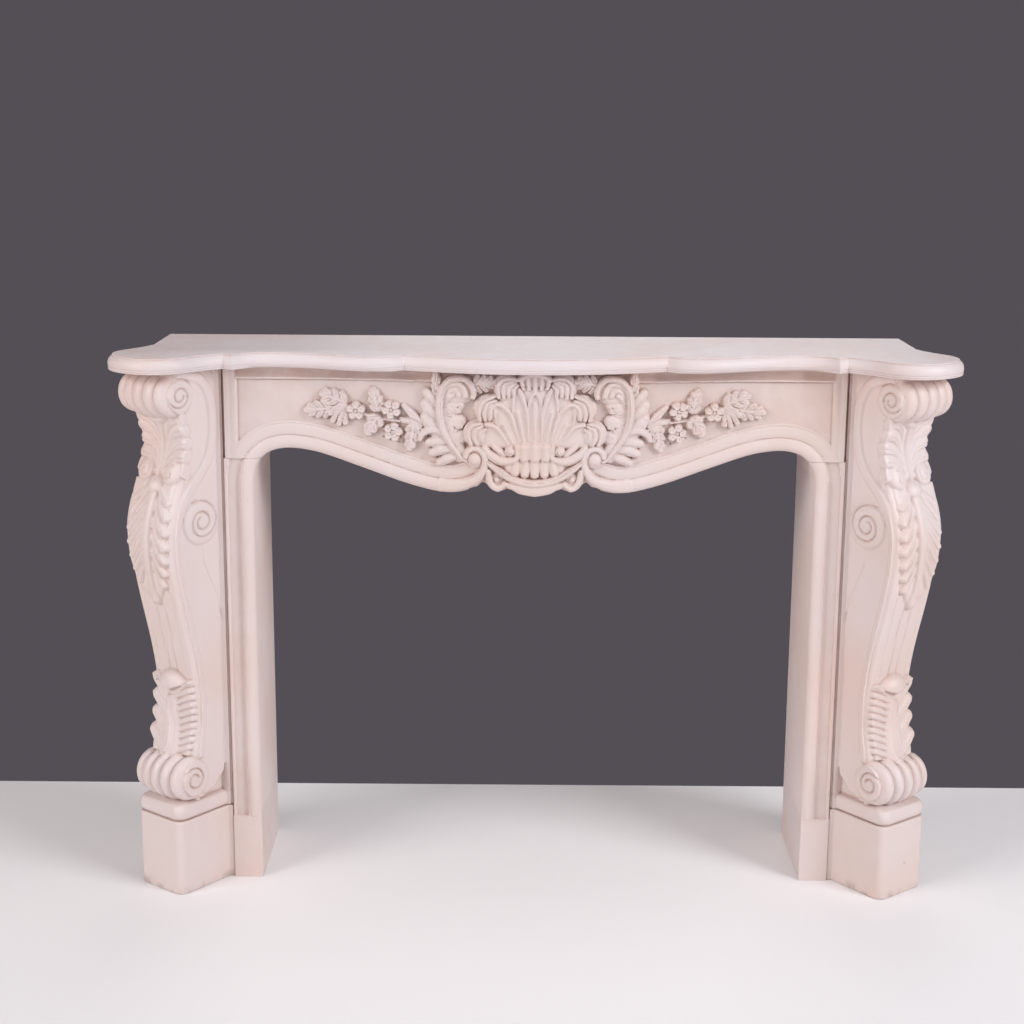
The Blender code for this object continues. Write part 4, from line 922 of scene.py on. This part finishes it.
def stone(name, colour, painted_shade_colour, stains=0):
    """Pale cast stone: cloudy colour, painted shade in recesses, rubbed high parts, fine grain and a satin
    skin.
    """
    material = bpy.data.materials.new(name)
    material.use_nodes = True
    nodes = material.node_tree.nodes

    def node(kind, output, inputs, **values):
        made = nodes.new("ShaderNode" + kind)
        for key, value in values.items():
            setattr(made, key, value)
        set_inputs(made, inputs)
        return made.outputs[output]

    place = node("TexCoord", "Object", {})

    def noise(scale, detail=4, rough=0.55):
        inputs = {"Vector": place, "Scale": scale, "Detail": detail, "Roughness": rough}
        return node("TexNoise", "Fac", inputs)

    def spread(value, low, high, to_low=0, to_high=1):
        inputs = {"Value": value, "From Min": low, "From Max": high, "To Min": to_low, "To Max": to_high}
        return node("MapRange", "Result", inputs, interpolation_type="SMOOTHSTEP")

    def mix(factor, a, b):
        a, b = ((*c, 1) if isinstance(c, tuple) else c for c in (a, b))
        return node("Mix", 2, {0: factor, 6: a, 7: b}, data_type="RGBA")

    def times(a, b):
        return node("Math", 0, {0: a, 1: b}, operation="MULTIPLY")

    painted_shade = node("Attribute", "Fac", {}, attribute_name="painted_shade")
    warm = tuple(c * f for c, f in zip(colour, (1, 0.955, 0.925)))
    cool = tuple(min(1, c * f) for c, f in zip(colour, (1.01, 1.035, 1.06)))
    cloudy = mix(spread(noise(3.2, 5), 0.38, 0.62), warm, cool)
    cloudy = mix(spread(noise(26, 6), 0.58, 0.8, 0, 0.35), cloudy, warm)
    # Painted shade: the recess amount, broken by noise, mixes the colour towards the browner shade colour.
    broken = times(painted_shade, spread(noise(18, 5), 0.3, 0.62, 0.45, 1))
    coloured = mix(spread(broken, 0.12, 1, 0, 0.62), cloudy, painted_shade_colour)
    if stains:
        spots = node("TexVoronoi", "Distance", {"Vector": place, "Scale": 34})
        few = times(spread(spots, 0.1, 0.16, 1, 0), spread(noise(9, 2), 0.6, 0.66))
        coloured = mix(times(few, stains), coloured, (0.42, 0.29, 0.24))
        level = node("SeparateXYZ", "Z", {0: place})
        scuffed = times(spread(level, 0, 0.022, 1, 0), spread(noise(40, 5), 0.42, 0.62))
        coloured = mix(times(scuffed, 0.55), coloured, (0.4, 0.31, 0.26))
    skin = spread(noise(55, 5), 0.3, 0.7, 0.42, 0.56)
    rough = node("Math", 0, {0: skin, 1: times(painted_shade, 0.18)}, operation="ADD")
    grain = node("Bump", "Normal", {"Strength": 0.1, "Distance": 0.0006, "Height": noise(900, 3)})
    waves = {"Strength": 0.22, "Distance": 0.0035, "Height": noise(38, 3, 0.45), "Normal": grain}
    set_inputs(nodes["Principled BSDF"], {
        "Base Color": coloured, "Roughness": rough, "Normal": node("Bump", "Normal", waves),
        "Specular IOR Level": 0.42, "Coat Weight": 0.06, "Coat Roughness": 0.35})
    return material


def make_stage():
    """A plain pale floor, a camera where the photograph's stood, and soft studio light."""
    mesh = bpy.data.meshes.new("floor")
    rear = 0.278 + BACK
    mesh.from_pydata([(-6, -5, 0), (6, -5, 0), (6, rear, 0), (-6, rear, 0)], [], [(0, 1, 2, 3)])
    floor = placed("floor", mesh)
    paint = bpy.data.materials.new("floor_paint")
    paint.use_nodes = True
    shader = paint.node_tree.nodes["Principled BSDF"]
    set_inputs(shader, {"Base Color": (0.93, 0.9, 0.895, 1), "Roughness": 0.7})
    mesh.materials.append(paint)
    floor.location.z = -0.0005

    pitch, yaw, roll = math.radians(12.96), math.radians(-0.14), math.radians(-0.36)
    forward = Vector((math.sin(yaw) * math.cos(pitch), math.cos(yaw) * math.cos(pitch), -math.sin(pitch)))
    level_right = Vector((math.cos(yaw), -math.sin(yaw), 0))
    level_down = forward.cross(level_right)
    right = math.cos(roll) * level_right + math.sin(roll) * level_down
    down = -math.sin(roll) * level_right + math.cos(roll) * level_down
    lens = bpy.data.cameras.new("camera")
    lens.sensor_width = 36
    lens.lens = 1850 / 1024 * 36
    camera = placed("camera", lens)
    turn = Matrix((right, -down, -forward)).transposed()
    camera.matrix_world = Matrix.Translation((-0.035, -3.836 + BACK, 1.607)) @ turn.to_4x4()
    bpy.context.scene.camera = camera

    lights = (("key", (3.9, -2.8, 2.9), 2.2, 175, (0.965, 0.99, 1.03)),
              ("fill", (-3.9, -2.8, 2.5), 2.6, 133, (1, 0.975, 0.965)),
              ("low front", (0, -4.6, 0.9), 2.6, 14, (1, 0.98, 0.98)),
              ("top", (0, -0.6, 3.4), 3, 30, (0.97, 0.97, 1)),
              ("rear", (0.4, 3.4, 2.4), 2.4, 26, (1, 0.98, 0.96)))
    for name, place, size, power, colour in lights:
        light = bpy.data.lights.new(name, "AREA")
        light.shape = "SQUARE"
        light.size = size
        light.energy = power
        light.color = colour
        lamp = placed(name, light)
        lamp.location = place
        lamp.rotation_mode = "QUATERNION"
        lamp.rotation_quaternion = (Vector((0, 0, 0.6)) - Vector(place)).to_track_quat("-Z", "Y")
    world = bpy.data.worlds.new("studio")
    bpy.context.scene.world = world
    world.use_nodes = True
    set_inputs(world.node_tree.nodes["Background"], {"Color": (0.088, 0.078, 0.092, 1), "Strength": 1})
    bpy.context.scene.view_settings.view_transform = "Standard"


make_stage()
STONE = (0.745, 0.618, 0.575)
# Browner colour of the painted shade in recesses, grooves and under the shelf.
PAINTED_SHADE_COLOUR = (0.56, 0.39, 0.32)
# The shelf's second colour is the browner colour of its painted shade.
make_shelf(stone("shelf_stone_look", (0.72, 0.624, 0.61), (0.56, 0.41, 0.35)))
# The frieze's colour is the stone's colour about 4% darker, a painted shade for the shelf's overhang.
make_frieze(stone("frieze_stone_look", (0.712, 0.592, 0.553), PAINTED_SHADE_COLOUR))
jamb_look = stone("jamb_stone_look", STONE, PAINTED_SHADE_COLOUR)
plinth_look = stone("plinth_stone_look", STONE, PAINTED_SHADE_COLOUR, 0.5)
console_look = stone("console_stone_look", (0.745, 0.622, 0.585), PAINTED_SHADE_COLOUR)
for side, word in ((-1, "left"), (1, "right")):
    make_jamb(word, side, jamb_look)
    make_plinth(word, side, plinth_look)
    make_console(word, side, console_look)
